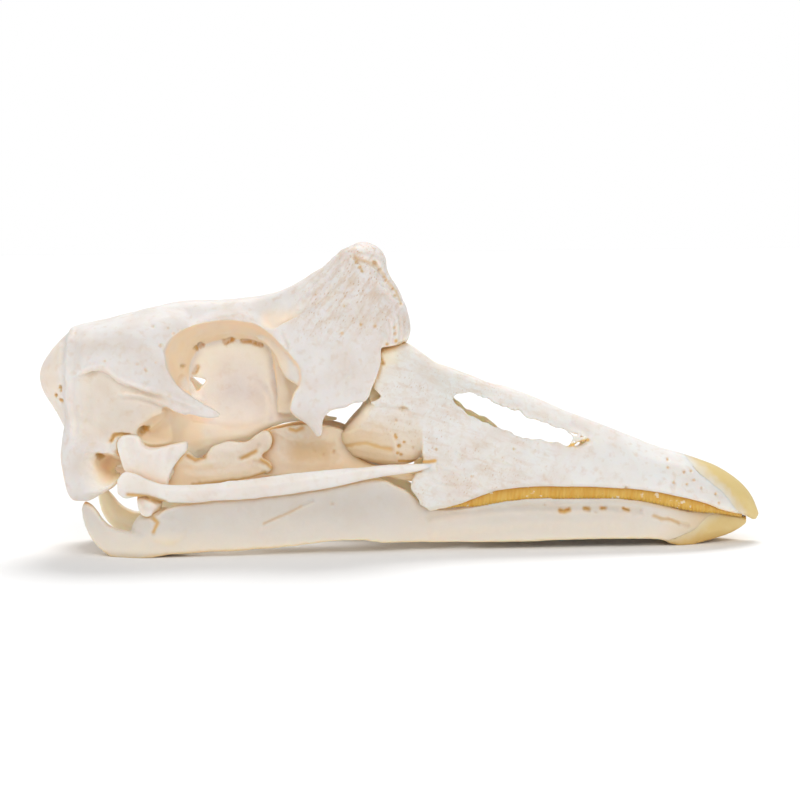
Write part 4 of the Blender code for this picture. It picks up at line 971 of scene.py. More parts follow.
# x, top z, half width of the ridge, half width at mid height, half width
# at the cutting edge, z of the cutting edge.
BILL = [
    (-9.0, 44.0, 8.6, 12.0, 12.4, 8.0),
    (-4.0, 44.2, 8.6, 12.0, 12.7, 8.0),
    (0.0, 44.7, 8.2, 11.9, 12.9, 8.0),
    (4.1, 43.4, 7.6, 11.8, 13.0, 8.2),
    (8.0, 40.6, 6.8, 11.6, 13.0, 9.0),
    (11.2, 39.5, 6.1, 11.4, 12.9, 9.6),
    (15.7, 37.7, 5.3, 11.1, 12.6, 11.2),
    (20.2, 35.9, 4.8, 10.8, 12.3, 12.8),
    (24.6, 34.8, 4.6, 10.6, 12.1, 13.5),
    (31.3, 32.2, 4.4, 10.2, 11.8, 13.8),
    (39.0, 28.8, 4.3, 9.9, 11.5, 13.6),
    (44.8, 26.6, 4.2, 9.8, 11.3, 13.4),
    (52.0, 23.7, 4.2, 9.7, 11.2, 12.9),
    (58.2, 21.1, 4.3, 9.6, 11.0, 11.9),
    (63.1, 19.7, 4.4, 9.3, 10.7, 10.8),
    (67.2, 18.3, 4.3, 8.7, 10.0, 9.6),
    (71.0, 16.8, 3.9, 7.6, 8.8, 8.0),
    (74.0, 15.0, 3.2, 6.0, 7.0, 7.0),
    (76.3, 13.2, 2.5, 4.5, 5.2, 6.3),
    (78.0, 11.4, 1.8, 3.1, 3.5, 5.4),
    (79.3, 9.4, 1.1, 1.9, 2.1, 4.6),
    (80.2, 7.2, 0.5, 0.9, 1.0, 5.0),
    (80.55, 6.2, 0.2, 0.3, 0.3, 5.6),
]

# What is open behind the bill: its free rear edge from top to bottom.
BILL_REAR = [
    (-30.0, 60.0), (-3.7, 60.0), (-3.6, 44.0), (-3.6, 40.7),
    (-4.3, 39.6), (-5.0, 38.0), (-5.1, 35.8), (-4.2, 35.3),
    (-3.8, 34.3), (-4.0, 33.5), (-5.5, 33.0), (-6.8, 32.6),
    (-4.0, 32.2), (0.0, 32.0), (2.2, 30.9), (3.3, 29.0),
    (4.3, 27.0), (4.6, 25.4), (5.2, 22.6), (5.2, 20.6),
    (7.5, 19.6), (6.9, 18.2), (5.2, 17.8), (3.8, 17.2),
    (3.2, 16.1), (2.0, 14.4), (2.6, 13.2), (3.6, 11.4),
    (4.9, 10.1), (6.3, 9.3), (6.5, 5.0), (-30.0, 5.0),
]

NOSTRIL = [
    (12.2, 32.9), (12.8, 33.6), (14.4, 33.8), (16.1, 33.8),
    (17.7, 33.2), (19.9, 32.3), (24.3, 30.7), (28.7, 28.7),
    (33.1, 27.1), (37.1, 25.7), (40.4, 24.2), (42.0, 23.2),
    (40.6, 22.7), (38.6, 22.6), (34.2, 23.3), (29.8, 23.9),
    (25.4, 25.3), (21.4, 27.0), (17.2, 28.8), (15.2, 29.9),
    (13.7, 31.4),
]

# Rear edge of the horny nail on the bill, top to bottom.
NAIL_EDGE = [
    (61.8, 24.0), (62.7, 20.5), (64.0, 18.5), (65.5, 16.7),
    (67.3, 14.9), (68.9, 13.4), (70.4, 12.2), (71.5, 11.0),
    (72.4, 9.9), (73.5, 8.2), (75.1, 6.4), (75.6, 2.0),
]


# %% Outside, inside and palate
def bill_half(top, ridge, mid, edge, low, shrink=0.0, floor=None):
    """Half section of the bill; shrink makes the inner one."""
    tall = top - low
    bottom = low if floor is None else floor
    pts = [(0, top), (ridge * 0.6, top - 0.15), (ridge, top - 0.09 * tall),
           ((ridge + mid) / 2 + 0.5, top - 0.30 * tall),
           (mid, low + 0.42 * tall), (edge - 0.25, low + 0.14 * tall),
           (edge, low + 0.02 * tall), (edge - 0.8, low - 0.02),
           (edge * 0.5, low), (0, low)]
    pts = np.array(pts, float)
    if shrink:
        pts[:, 0] = np.maximum(pts[:, 0] - shrink, 0) * (pts[:, 0] > 0)
        pts[:, 1] = np.clip(pts[:, 1], bottom, top - shrink)
    line = smooth_line(pts, 30)
    line[0, 0] = 0.0
    line[-1, 0] = 0.0
    line[:, 0] = np.maximum(line[:, 0], 0.0)
    return line


def make_bill_form():
    rings = [ring_from_half(row[0], bill_half(*row[1:]))
             for row in smooth_line(BILL, 90)]
    return loft("bill", rings)


def make_bill_inside():
    rings = []
    rows = [r for r in BILL if -10 < r[0] < 50]
    for x, top, ridge, mid, edge, low in smooth_line(rows, 40):
        floor = by_x([(-9, -4.0), (6, -2.0), (14, 8.0), (24, 17.5),
                      (50, 17.0)], x)
        wall = BILL_WALL + 1.2 * np.clip((x - 30) / 20.0, 0, 1)
        rings.append(ring_from_half(
            x, bill_half(top, ridge, mid, edge, low, wall, floor)))
    rings = np.array(rings)
    rings[0, :, 0] -= 6.0
    return loft("bill_inside", rings)


def make_palate_hollow():
    """Shallow trough along the underside of the bill."""
    rings = []
    for x in np.linspace(24.0, 71.0, 24):
        low = by_x([(r[0], r[5]) for r in BILL], x)
        edge = by_x([(r[0], r[4]) for r in BILL], x)
        end = min(1.0, (x - 23.5) / 14.0, (71.5 - x) / 6.0)
        wide = (edge - 3.0) * max(end, 0.1) ** 0.6
        tall = 2.2 * max(end, 0.1)
        half = [(0, low + tall), (wide * 0.7, low + tall * 0.9),
                (wide, low + tall * 0.2), (wide, low - 3.0), (0, low - 3.0)]
        rings.append(ring_from_half(x, half))
    return loft("palate_hollow", rings)


# Cutters reach past the skull: half their width, and the x of their front.
PAST_SIDE = 20.0
PAST_TIP = 95.0


def nail_block(edge):
    """Slab in front of a nail's rear edge, right through the bill."""
    line = [(x, z) for x, z in smooth_line(edge, 24)]
    block = line + [(PAST_TIP, line[-1][1]), (PAST_TIP, line[0][1])]
    return plate("nail_block", block, -PAST_SIDE, PAST_SIDE)


# %% [markdown]
# The nail is a thin cap of horn that sits over the tip.  Bone and cap come
# from one form: the bone is sunk by the cap's thickness in front of the
# nail's rear edge, and the cap is what the edge cuts from the form.

# %% Bill form, nail and cut openings
NAIL_THICK = 0.9


def ragged(outline, count, size, seed):
    """Smooth closed outline with small teeth, as thin bone breaks."""
    line = smooth_line(outline, count, True)
    flat = np.column_stack([line, line[:, 0] * 0])
    wave = lumps(flat, size, seed)
    fine_wave = lumps(flat, size * 0.4, seed + 1)
    d = np.roll(line, -1, axis=0) - np.roll(line, 1, axis=0)
    d /= np.linalg.norm(d, axis=1)[:, None] + 1e-9
    return line + np.column_stack([d[:, 1], -d[:, 0]]) * (
        0.4 * wave + 0.28 * fine_wave)[:, None]


form = eased(fused(make_bill_form(), 0.5), 2, 0.4)
nail = copied(form, "bill_nail_horn")
cut(nail, [nail_block(NAIL_EDGE)], "INTERSECT")
nail = biggest(nail)

edge = smooth_line(NAIL_EDGE, 60)
clay = Clay(form)
x, y, z = clay.p.T
ahead = x - np.interp(-z, -edge[::-1, 1][::-1], edge[:, 0])
sink = NAIL_THICK * (0.12 * ramp(ahead, 0.3, 0.7)
                     + 0.4 * ramp(ahead, 0.5, 3.0))
clay.p -= clay.n * sink[:, None]
bill = clay.done()
cut(bill, [make_bill_inside(), make_palate_hollow()])
rear = ragged(BILL_REAR, 260, 1.6, 21)
nose_hole = ragged(NOSTRIL, 160, 2.2, 23)
# The left nostril reaches a little lower, so the view through is clear.
LEFT_LOWER = 1.9
left_hole = [(x, z - LEFT_LOWER * float(ramp(np.array(x), 20.0, 24.0)))
             for x, z in nose_hole]
cut(bill, [plate("rear", rear, -PAST_SIDE, PAST_SIDE),
           plate("nostril", nose_hole, -PAST_SIDE, PAST_SIDE),
           plate("left_nostril", left_hole, 0.5, PAST_SIDE)])
print("bill cut,", len(bill.data.polygons), "faces")

# %% [markdown]
# Behind the bill's root bulges a thin blister of bone on each side, the
# nasal concha.  Fine struts cross the front corner of each nostril.

# %% Conchae and struts
CONCHA = [
    (-12.8, 24.7), (-11.9, 26.7), (-10.4, 28.5), (-8.8, 30.2),
    (-7.5, 32.0), (-5.7, 32.8), (-3.5, 33.2), (-0.4, 32.6),
    (2.2, 30.3), (4.3, 26.3), (5.2, 21.9), (3.2, 19.3), (-1.0, 18.6),
    (-5.6, 19.1), (-9.6, 20.5), (-11.8, 22.3),
]

# How large the outline is at each distance from the plane of symmetry.
CONCHA_DOME = [
    (3.5, 0.86), (5.5, 0.97), (8.0, 1.0), (10.0, 0.9),
    (11.2, 0.66), (11.8, 0.3),
]


def make_concha():
    middle = np.mean(CONCHA, axis=0)
    levels = []
    for y, size in CONCHA_DOME:
        outline = middle + (np.array(CONCHA) - middle) * size
        levels.append((y, [tuple(p) for p in outline]))
    return make_hollow(levels)


# Wall in the middle of the nose, and one behind the gap to the knob.
NOSE_WALL = [
    (-7.5, 44.6), (-1.0, 46.2), (2.3, 41.2), (1.1, 34.0),
    (-3.6, 31.4), (-6.7, 32.8),
]
GAP_WALL = [
    (-7.0, 39.0), (-1.7, 40.3), (-0.9, 34.5), (-3.5, 32.3),
    (-6.6, 32.8),
]
GAP_WALL_PLACE = 7.3

# Each strut on the right side: x, y, z and radius along it.
STRUTS = [
    [(36.9, -8.6, 25.8, 0.4), (38.0, -8.6, 24.9, 0.35),
     (39.1, -8.8, 24.2, 0.35), (40.8, -9.0, 23.6, 0.4)],
    [(37.5, -9.2, 22.9, 0.35), (38.4, -8.8, 24.2, 0.3),
     (40.0, -8.6, 25.1, 0.35)],
    [(37.9, -9.3, 22.5, 0.3), (39.5, -9.0, 23.6, 0.3),
     (41.3, -8.6, 24.4, 0.35)],
]

concha = make_concha()
bulbs = [copied(concha, "concha", True), concha,
         plate("nose_wall", NOSE_WALL, -0.5, 0.5)]
for side in (-1, 1):
    place = side * GAP_WALL_PLACE
    bulbs.append(plate("gap_wall", GAP_WALL, place - 0.4, place + 0.4))
    bulbs.append(ball("bulb_root", (4.5, side * 8.2, 26.4),
                      (8.5, 3.2, 6.0)))
    bulbs.append(bar("cheek_root", [
        (5.0, side * 11.6, 18.6, 1.2), (8.0, side * 11.6, 18.6, 1.6)], 4))
    for strut in STRUTS:
        bulbs.append(bar("strut", [(a, -side * b, c, r)
                                   for a, b, c, r in strut], 3))
bill = joined("upper_bill_bone", [bill] + bulbs)
bill = eased(biggest(fused(bill, FINE)), 3, 0.45)
print("bill fused,", len(bill.data.polygons), "faces")

# %% Brush the bill
clay = Clay(bill)
x, y, z = clay.p.T
# The root of the bill is drawn up and back, until it meets the knob.
root = ramp(z, 37.0, 42.5) * ramp(-x, -5.0, -1.0)
clay.p[:, 2] += 0.7 * root
clay.p[:, 0] -= 0.75 * ramp(z, 33.6, 35.5) * ramp(-x, -3.0, 1.0)
clay.look_again()
BILL_HOLES = [
    (59.3, 18.9), (59.1, 17.4), (62.8, 16.3), (64.4, 16.5), (64.8, 14.7),
    (60.2, 14.3), (63.1, 13.8), (66.4, 12.9), (69.7, 11.5), (70.3, 9.5),
    (49.6, 13.3),
]
clay.dots(BILL_HOLES, 0.36, 0.32)
BILL_PORES = [(25.1, 22.1), (15.8, 16.3), (8.0, 22.3)]
clay.dots(BILL_PORES, 0.4, 0.5)
clay.dots([(-4.0, 43.9), (-3.9, 41.9), (-3.6, 41.1), (-2.3, 45.0), (-0.8, 45.8)], 0.5,
          0.5, facing=-0.4)
clay.press([(37.2, 22.6), (39.4, 22.6), (42.1, 23.2)], 0.9, 0.3)
clay.press([(21.4, 23.2), (17.0, 25.0), (13.6, 30.3), (15.3, 32.9), (26.3, 32.4),
            (35.0, 27.9)], 1.4, -0.15)
clay.press([(6.9, 19.6), (9.7, 17.8), (13.4, 16.9), (17.3, 15.1)], 0.7, 0.22)
clay.press([(6.4, 15.6), (10.1, 14.3), (15.1, 14.6), (20.0, 12.8)], 0.7, 0.2)
clay.press([(8.6, 11.2), (11.8, 12.5), (16.4, 11.5)], 0.7, 0.2)
clay.press([(11.3, 21.7), (14.7, 19.9), (19.6, 20.3), (24.4, 18.1)], 0.7, 0.18)
clay.press([(41.8, 24.5), (40.3, 25.7), (38.5, 26.6)], 1.2, 0.3)
clay.press([(-13.0, 25.4), (-11.0, 26.2), (-8.8, 26.9), (-6.2, 26.6), (-4.0, 25.9)],
           0.8, -0.2, facing=-0.2)
CONCHA_FOLD = [(-11.9, 22.9), (-9.7, 23.6), (-7.1, 23.8), (-4.5, 22.9), (-1.9, 22.4)]
clay.press(CONCHA_FOLD, 0.9, 0.18, facing=-0.2)
clay.press([(-2.0, 26.4), (-1.2, 24.4), (-0.8, 22.4), (-0.6, 20.6)], 0.8, -0.25,
           facing=-0.2)
clay.dots([(-0.9, 25.5), (-0.7, 25.0), (-0.1, 23.1), (-0.5, 21.5), (0.3, 21.1),
           (1.0, 23.9), (3.0, 22.6), (-0.7, 28.8)], 0.45, 0.45, facing=-0.2)
clay.press([(-10.6, 20.9), (-8.4, 20.9), (-5.6, 20.2), (-2.3, 19.8), (1.0, 19.5)], 0.9,
           -0.2, facing=-0.3)
clay.look_again()
mottle = (ramp(clay.p[:, 0], -2.0, 8.0) * ramp(-clay.p[:, 0], -52.0, -36.0))
clay.p -= clay.n * (mottle * 0.07 * np.maximum(
    lumps(clay.p, 1.3, 31), 0.0))[:, None]
clay.swell(6.0, 0.14, 32)
clay.swell(1.8, 0.04, 33)
clay.done()
print("bill brushed")

# %% [markdown]
# ## Lamellae
# Along the inside of a goose's bill stands a comb of horny plates that crops
# grass.  The comb is one long strip, and its plates are a wave pressed into
# the strip: modelling sixty plates one by one would look no different.

# %% The comb
# Upper edge of the jaw below the comb: x, z.
JAW_TOP = [
    (8.0, 8.9), (17.3, 9.8), (26.2, 10.8), (35.0, 11.1), (43.7, 11.1),
    (52.6, 10.5), (59.2, 9.1), (66.0, 7.7), (70.6, 7.2), (77.0, 5.6),
]

# Distance from one plate of the comb to the next.
TOOTH_STEP = 0.8


def make_lamellae():
    rows = smooth_line([r for r in BILL if 8.0 <= r[0] < 77.0], 420)
    rows = rows[:, (0, 4, 5)]
    show = ramp(rows[:, 0], 6.0, 17.0)
    drop = np.clip(rows[:, 2] + 0.8 - by_x(JAW_TOP, rows[:, 0]), 0.5, 4.6)
    drop = 0.5 + (drop - 0.5) * show
    rings = []
    for (x, edge, low), d in zip(rows, drop):
        tooth = 0.5 + 0.5 * math.cos(x * 2 * math.pi / TOOTH_STEP)
        out = 0.1 * tooth ** 0.7
        inner = max(edge - 2.4, 0.5)
        outer = max(edge - 1.65, 1.2)
        tip = low + 0.5 - d * (0.95 + 0.05 * tooth)
        rings.append([
            (x, -outer + 0.2, low + 0.5), (x, -inner, low + 0.5),
            (x, -inner, tip), (x, -(inner + outer) / 2 - out * 0.6, tip),
            (x, -outer - out * 0.9, tip + d * 0.25),
            (x, -outer - out, tip + d * 0.55),
            (x, -outer - out * 0.5, tip + d * 0.85)])
    return loft("lamellae_right_horn", rings)


lamellae = make_lamellae()
print("comb,", len(lamellae.data.polygons), "faces")

# %% [markdown]
# ## The lower jaw
# Each branch of the jaw is a tall thin bar that bends inwards to the tip.
# Its side outline is extruded flat and then bent by a table, which keeps
# the measured outline exactly.  A spoon-shaped floor joins the branches.

# %% Measured outlines of the lower jaw
JAW_SIDE = [
    (-69.6, 10.2), (-69.3, 11.4), (-68.3, 11.6), (-67.0, 10.6),
    (-65.7, 8.9), (-64.4, 7.4), (-62.6, 6.1), (-60.1, 5.6),
    (-57.8, 5.3), (-55.4, 5.1), (-54.0, 5.8), (-53.4, 7.6),
    (-52.6, 8.9), (-51.1, 10.1), (-48.3, 11.2), (-42.0, 11.9),
    (-32.9, 12.6), (-22.0, 13.6), (-13.3, 14.9), (-7.0, 15.9),
    (-3.4, 15.8), (-1.3, 14.5), (0.9, 13.5), (3.2, 12.0),
    (6.5, 9.6), (10.7, 8.8), (17.3, 9.8), (21.7, 10.3),
    (26.2, 10.8), (35.0, 11.1), (43.7, 11.1), (52.6, 10.5),
    (59.2, 9.1), (62.6, 8.1), (66.0, 7.7), (70.6, 7.2),
    (75.6, 5.9), (78.1, 5.0), (77.8, 4.0), (76.0, 2.8),
    (73.6, 1.8), (70.1, 0.9), (66.6, 0.2), (63.3, -0.4),
    (60.1, 0.3), (58.5, 1.0), (56.1, 1.6), (48.3, 1.7),
    (30.5, 1.6), (12.9, 1.5), (-0.3, 1.8), (-4.7, 2.0),
    (-7.9, 2.6), (-14.5, 2.7), (-17.8, 2.4), (-26.5, 1.6),
    (-39.5, 0.9), (-50.3, 0.5), (-54.6, -0.3), (-56.8, -0.6),
    (-60.2, -0.7), (-62.6, -0.3), (-64.2, 0.6), (-65.8, 1.7),
    (-67.1, 3.2), (-68.5, 5.5), (-69.2, 7.7),
]

# Distance of a jaw half's middle from the plane of symmetry, by x.
JAW_BEND = [
    (-70.0, 12.6), (-66.0, 13.4), (-61.0, 15.0), (-56.0, 16.6),
    (-51.0, 16.6), (-44.0, 15.8), (-33.0, 14.6), (-20.0, 13.7),
    (-10.0, 12.9), (-3.0, 11.6), (3.0, 10.0), (8.0, 9.5),
    (20.0, 9.2), (32.0, 8.8), (44.0, 8.3), (54.0, 8.0),
    (60.0, 7.4), (65.0, 6.3), (70.0, 4.6), (74.0, 2.9),
    (77.0, 1.3), (79.0, 0.5),
]

# Its thickness, by x.
JAW_WALL = [
    (-70.0, 2.6), (-66.0, 3.0), (-60.0, 3.6), (-54.0, 3.6),
    (-48.0, 3.0), (-33.0, 2.6), (-5.0, 2.4), (8.0, 2.4),
    (40.0, 2.4), (60.0, 2.4), (79.0, 2.2),
]

# Rear edge of the horny nail on the lower jaw, bottom to top.
JAW_NAIL_EDGE = [
    (57.6, -2.0), (58.6, 0.8), (61.8, 2.0), (65.1, 3.7),
    (66.3, 5.3), (68.0, 6.6), (69.9, 7.3), (71.0, 9.5),
]


# %% Bend the branches and fuse the jaw
def bend_jaw(x, y, z):
    middle = by_x(JAW_BEND, x)
    wall = by_x(JAW_WALL, x)
    low = np.clip((9.0 - z) / 9.0, 0, 1)
    front = np.clip((x - 50.0) / 20.0, 0, 1)
    out = middle - 1.2 * low * low * front + 0.5 * low * (1 - front)
    return x, -(out + y * wall), z


def spoon(x, y, z):
    low = by_x([(54.0, 1.7), (58.5, 0.9), (63.3, -0.5), (66.6, 0.1),
                (70.1, 0.9), (73.6, 1.8), (76.0, 2.8), (78.0, 4.0)], x)
    wide = by_x(JAW_BEND, x) + 1.0
    rise = 1.5 * np.clip(np.abs(y) / wide, 0, 1) ** 2.2
    return x, y, low + rise + z


def make_jaw():
    side = fused(plate("side", JAW_SIDE, -0.5, 0.5, 170), 0.4)
    side = edit_all(warp(side, bend_jaw), bpy.ops.mesh.flip_normals)
    half = joined("half", [
        side,
        ball("joint", (-51.6, -14.4, 5.4), (7.0, 5.0, 5.0), (8, 0, 0)),
        ball("cup", (-54.9, -13.4, 5.4), (3.4, 3.4, 2.7)),
        bar("inner", [(-55.6, -13.0, 2.8, 2.0), (-56.0, -9.5, 4.4, 1.6),
                      (-56.4, -6.8, 6.0, 1.1)], 4),
        bar("hook", [(-61.0, -14.6, 3.4, 1.9), (-65.6, -13.4, 5.4, 1.6),
                     (-68.0, -12.8, 9.0, 1.3)], 4)])
    floor = plate("floor", [
        (57.5, 0.0), (55.6, 5.5), (54.6, 8.0), (60.0, 7.9), (65.0, 7.0),
        (70.0, 5.4), (74.0, 3.6), (77.2, 1.5), (77.9, 0.0), (77.2, -1.5),
        (74.0, -3.6), (70.0, -5.4), (65.0, -7.0), (60.0, -7.9),
        (54.6, -8.0), (55.6, -5.5)], 0.0, 1.8, 60, "xy")
    floor = warp(fused(floor, 0.45), spoon)
    jaw = joined("mandible_bone", [with_mirror(half), floor])
    return biggest(eased(fused(jaw, FINE), 5, 0.45))


jaw = make_jaw()
jaw_nail = copied(jaw, "mandible_nail_horn")
cut(jaw_nail, [nail_block(JAW_NAIL_EDGE)], "INTERSECT")
jaw_nail = biggest(jaw_nail)
print("jaw fused,", len(jaw.data.polygons), "faces")

# %% [markdown]
# The jaw's side carries a long groove for a vessel, with slots in it, and
# an open seam between two of its bones.  The bone sinks a little in front,
# under the horny nail.

# %% Brush the jaw
clay = Clay(jaw)
edge = smooth_line(JAW_NAIL_EDGE, 60)
x, y, z = clay.p.T
ahead = x - np.interp(z, edge[:, 1], edge[:, 0])
sink = 0.1 * ramp(ahead, 0.3, 0.7) + 0.3 * ramp(ahead, 0.5, 3.0)
clay.p -= clay.n * sink[:, None]
clay.look_again()
clay.press([(6.8, 6.9), (10.8, 7.6), (17.4, 8.2), (26.2, 8.8), (35.0, 8.7), (43.8, 8.6),
            (52.6, 7.8)], 1.5, 0.6)
clay.press([(6.4, 8.9), (15.2, 10.0), (24.0, 10.5), (32.8, 10.7)], 1.1, -0.3)
clay.press([(7.7, 4.3), (15.1, 5.3), (26.2, 6.3), (37.2, 6.4), (48.2, 6.1)], 2.2, -0.3)
JAW_SLOTS = [
    [(35.2, 8.2), (36.1, 8.0), (37.2, 8.4)],
    [(40.7, 8.6), (41.6, 8.4)],
    [(44.4, 8.6), (45.1, 8.6)],
    [(49.3, 8.5), (50.4, 8.1)],
]
for slot in JAW_SLOTS:
    clay.press(slot, 0.5, 0.8, hard=0.3)
clay.dots([(31.7, 9.6), (53.0, 8.1), (43.1, 7.7)], 0.35, 0.3)
clay.press([(56.0, 6.8), (57.6, 6.1), (59.8, 5.9), (61.7, 4.9), (63.7, 4.3)], 0.7, 0.4)
clay.press([(-29.7, 6.8), (-27.5, 7.8), (-24.2, 9.1), (-21.6, 10.4), (-18.8, 11.5)],
           0.5, 0.35)
clay.press([(-30.4, 6.1), (-26.4, 7.2), (-22.1, 8.7), (-17.7, 10.4)], 1.2, -0.12)
clay.press([(-48.1, 9.5), (-37.3, 8.5), (-26.4, 5.3), (-15.5, 3.9)], 4.0, 0.2)
clay.press([(-54.7, 6.7), (-43.9, 3.3), (-30.8, 1.4), (-15.6, 1.3)], 5.0, -0.12)
clay.dots([(-45.8, 13.5), (-35.0, 9.7), (-14.8, 10.8)], 0.35, 0.3)
JAW_CRACK = [(-53.5, 8.6), (-52.4, 7.7), (-53.3, 5.7)]
clay.press(JAW_CRACK, 0.9, 0.4)
clay.look_again()
clay.swell(6.0, 0.14, 41)
clay.swell(1.6, 0.04, 42)
clay.done()
print("jaw brushed")

# %% [markdown]
# ## The small bones
# Between skull and jaw lie four pairs of small bones: the quadrate that the
# jaw turns on, the pterygoid and palatine that push the bill up, and the
# thin cheek bar.  Each right one is modelled once, and the left ones are
# mirrored copies.

# %% Outlines of the small bones
QUADRATE = [
    (-61.0, 25.6), (-61.2, 23.6), (-60.6, 21.8), (-60.0, 19.8),
    (-59.2, 17.6), (-58.4, 15.4), (-57.3, 12.4), (-57.0, 10.4),
    (-56.6, 8.6), (-55.6, 7.1), (-53.9, 6.9), (-52.9, 9.4),
    (-51.3, 11.4), (-50.4, 15.0), (-49.9, 17.7), (-49.0, 19.6),
    (-47.7, 21.3), (-46.3, 22.8), (-46.3, 24.6), (-47.6, 24.5),
    (-50.9, 23.9), (-53.1, 23.6), (-54.8, 23.8), (-55.9, 24.7),
    (-56.6, 26.2), (-58.9, 26.6),
]

PTERYGOID = [
    (-51.5, 14.2), (-51.2, 16.5), (-50.1, 18.4), (-48.3, 20.7),
    (-46.7, 22.2), (-45.2, 20.8), (-43.4, 20.6), (-42.1, 21.9),
    (-41.2, 23.0), (-39.6, 23.7), (-37.9, 24.0), (-33.9, 23.8),
    (-31.9, 25.2), (-30.1, 26.3), (-28.8, 26.0), (-28.1, 24.7),
    (-28.4, 22.9), (-29.3, 21.6), (-30.6, 20.9), (-30.2, 20.0),
    (-28.9, 19.6), (-28.2, 18.5), (-28.5, 17.3), (-30.7, 16.5),
    (-34.7, 15.6), (-39.1, 15.0), (-45.3, 14.2),
]

PALATINE = [
    (-30.6, 23.3), (-30.2, 25.0), (-29.1, 25.9), (-27.3, 26.5),
    (-23.3, 27.2), (-19.1, 27.5), (-16.4, 27.4), (-13.8, 26.9),
    (-12.0, 26.0), (-10.9, 24.6), (-10.5, 22.6), (-9.4, 20.6),
    (-7.2, 19.3), (-3.7, 18.1), (-0.1, 17.2), (4.3, 16.5),
    (6.5, 15.6), (6.0, 14.7), (-0.2, 15.4), (-4.6, 16.3),
    (-11.2, 17.3), (-17.9, 16.9), (-23.4, 16.3), (-28.5, 16.1),
    (-30.7, 17.0), (-31.1, 20.2),
]

# Cheek bar: x, y, z, half its height.
JUGAL = [
    (-60.9, -18.5, 15.6, 1.5), (-59.4, -18.6, 15.9, 2.9),
    (-57.0, -18.6, 15.8, 2.6), (-54.2, -18.5, 15.1, 2.0),
    (-50.8, -18.4, 14.1, 2.0), (-45.6, -18.1, 13.8, 2.0),
    (-39.2, -17.7, 14.2, 2.0), (-32.7, -17.2, 14.6, 2.2),
    (-21.9, -16.3, 15.8, 2.3), (-15.4, -15.6, 16.5, 2.1),
    (-9.0, -14.8, 17.3, 1.6), (-3.0, -14.0, 18.0, 1.2),
    (1.8, -13.2, 18.3, 0.9),
]


# %% Quadrate
def shape_quadrate(x, y, z):
    z = np.where(z < 14.0, 14.0 - (14.0 - z) * 0.72, z)
    foot = np.clip((12.5 - z) / 3.0, 0, 1)
    head = np.clip((z - 22.5) / 3.0, 0, 1)
    inner = np.clip((x + 53.0) / 7.0, 0, 1) * np.clip((z - 17) / 4, 0, 1)
    mid = -15.4 + 1.0 * head + 3.2 * inner
    return x, mid + (y + 15.7) * (1.0 + 1.5 * foot + 0.4 * head), z


quadrate = joined("quadrate_right_bone", [
    warp(fused(plate("quadrate", QUADRATE, -17.0, -14.4, 70), 0.4),
         shape_quadrate),
    ball("foot", (-54.2, -15.0, 11.5), (2.5, 3.6, 2.6)),
    bar("arm", [(-52.6, -14.0, 16.0, 1.8), (-51.2, -12.0, 17.6, 1.6),
                (-50.6, -10.6, 18.2, 1.5)], 4)])
quadrate = eased(biggest(fused(quadrate, 0.3)), 4, 0.5)
clay = Clay(quadrate)
clay.press([(-57.5, 26.1), (-57.9, 24.6), (-57.3, 22.8)], 1.5, 0.3)
clay.press([(-59.7, 25.9), (-59.3, 23.3), (-58.2, 20.6), (-57.6, 17.8)], 1.0, -0.2)
clay.press([(-48.8, 25.3), (-49.9, 24.1), (-50.8, 22.1), (-50.9, 19.9)], 1.2, -0.22)
clay.press([(-54.3, 23.2), (-53.2, 21.0), (-53.3, 17.8)], 4.0, 0.35)
QUADRATE_SEAM = [(-57.7, 13.0), (-55.3, 13.4), (-53.2, 12.5), (-51.0, 11.6)]
clay.press(QUADRATE_SEAM, 0.6, 0.4, facing=-0.3)
clay.swell(2.5, 0.1, 51)
clay.done()
print("quadrate,", len(quadrate.data.polygons), "faces")


# %% Pterygoid and palatine
def lean_pterygoid(x, y, z):
    mid = by_x([(-50.0, -9.8), (-44.0, -8.6), (-36.0, -7.0),
                (-28.5, -6.2)], x)
    return x, mid + y * (1.0 + 0.5 * np.clip((-44.0 - x) / 5, 0, 1)), z


def lean_palatine(x, y, z):
    mid = by_x([(-31.0, -3.4), (-24.0, -5.0), (-14.0, -6.6),
                (-4.0, -7.4), (6.0, -8.2)], x)
    low = np.clip((22.0 - z) / 6.0, 0, 1)
    return x, mid + y - 1.2 * low, z


pterygoid = fused(plate("pterygoid", PTERYGOID, -0.9, 0.9, 90), 0.35)
pterygoid = eased(fused(warp(pterygoid, lean_pterygoid), 0.3), 3, 0.4)
pterygoid = joined("pterygoid_right_bone", [pterygoid])
clay = Clay(pterygoid)
clay.press([(-46.3, 20.9), (-44.8, 20.2), (-43.0, 20.6)], 1.1, 0.45)
clay.press([(-49.7, 19.1), (-47.4, 20.0), (-44.3, 19.3), (-41.2, 19.5)], 1.6, -0.25)
clay.press([(-46.2, 16.9), (-42.2, 16.4), (-37.8, 16.8), (-33.3, 17.6)], 1.6, -0.2)
clay.press([(-41.0, 21.7), (-38.1, 22.3), (-35.5, 22.1)], 1.8, -0.25)
clay.press([(-35.1, 20.2), (-33.6, 20.6), (-32.0, 21.5), (-31.1, 22.8)], 0.8, 0.45)
clay.press([(-32.0, 19.5), (-30.3, 19.0), (-28.9, 18.4)], 0.8, 0.35)
clay.swell(1.8, 0.12, 52)
clay.done()

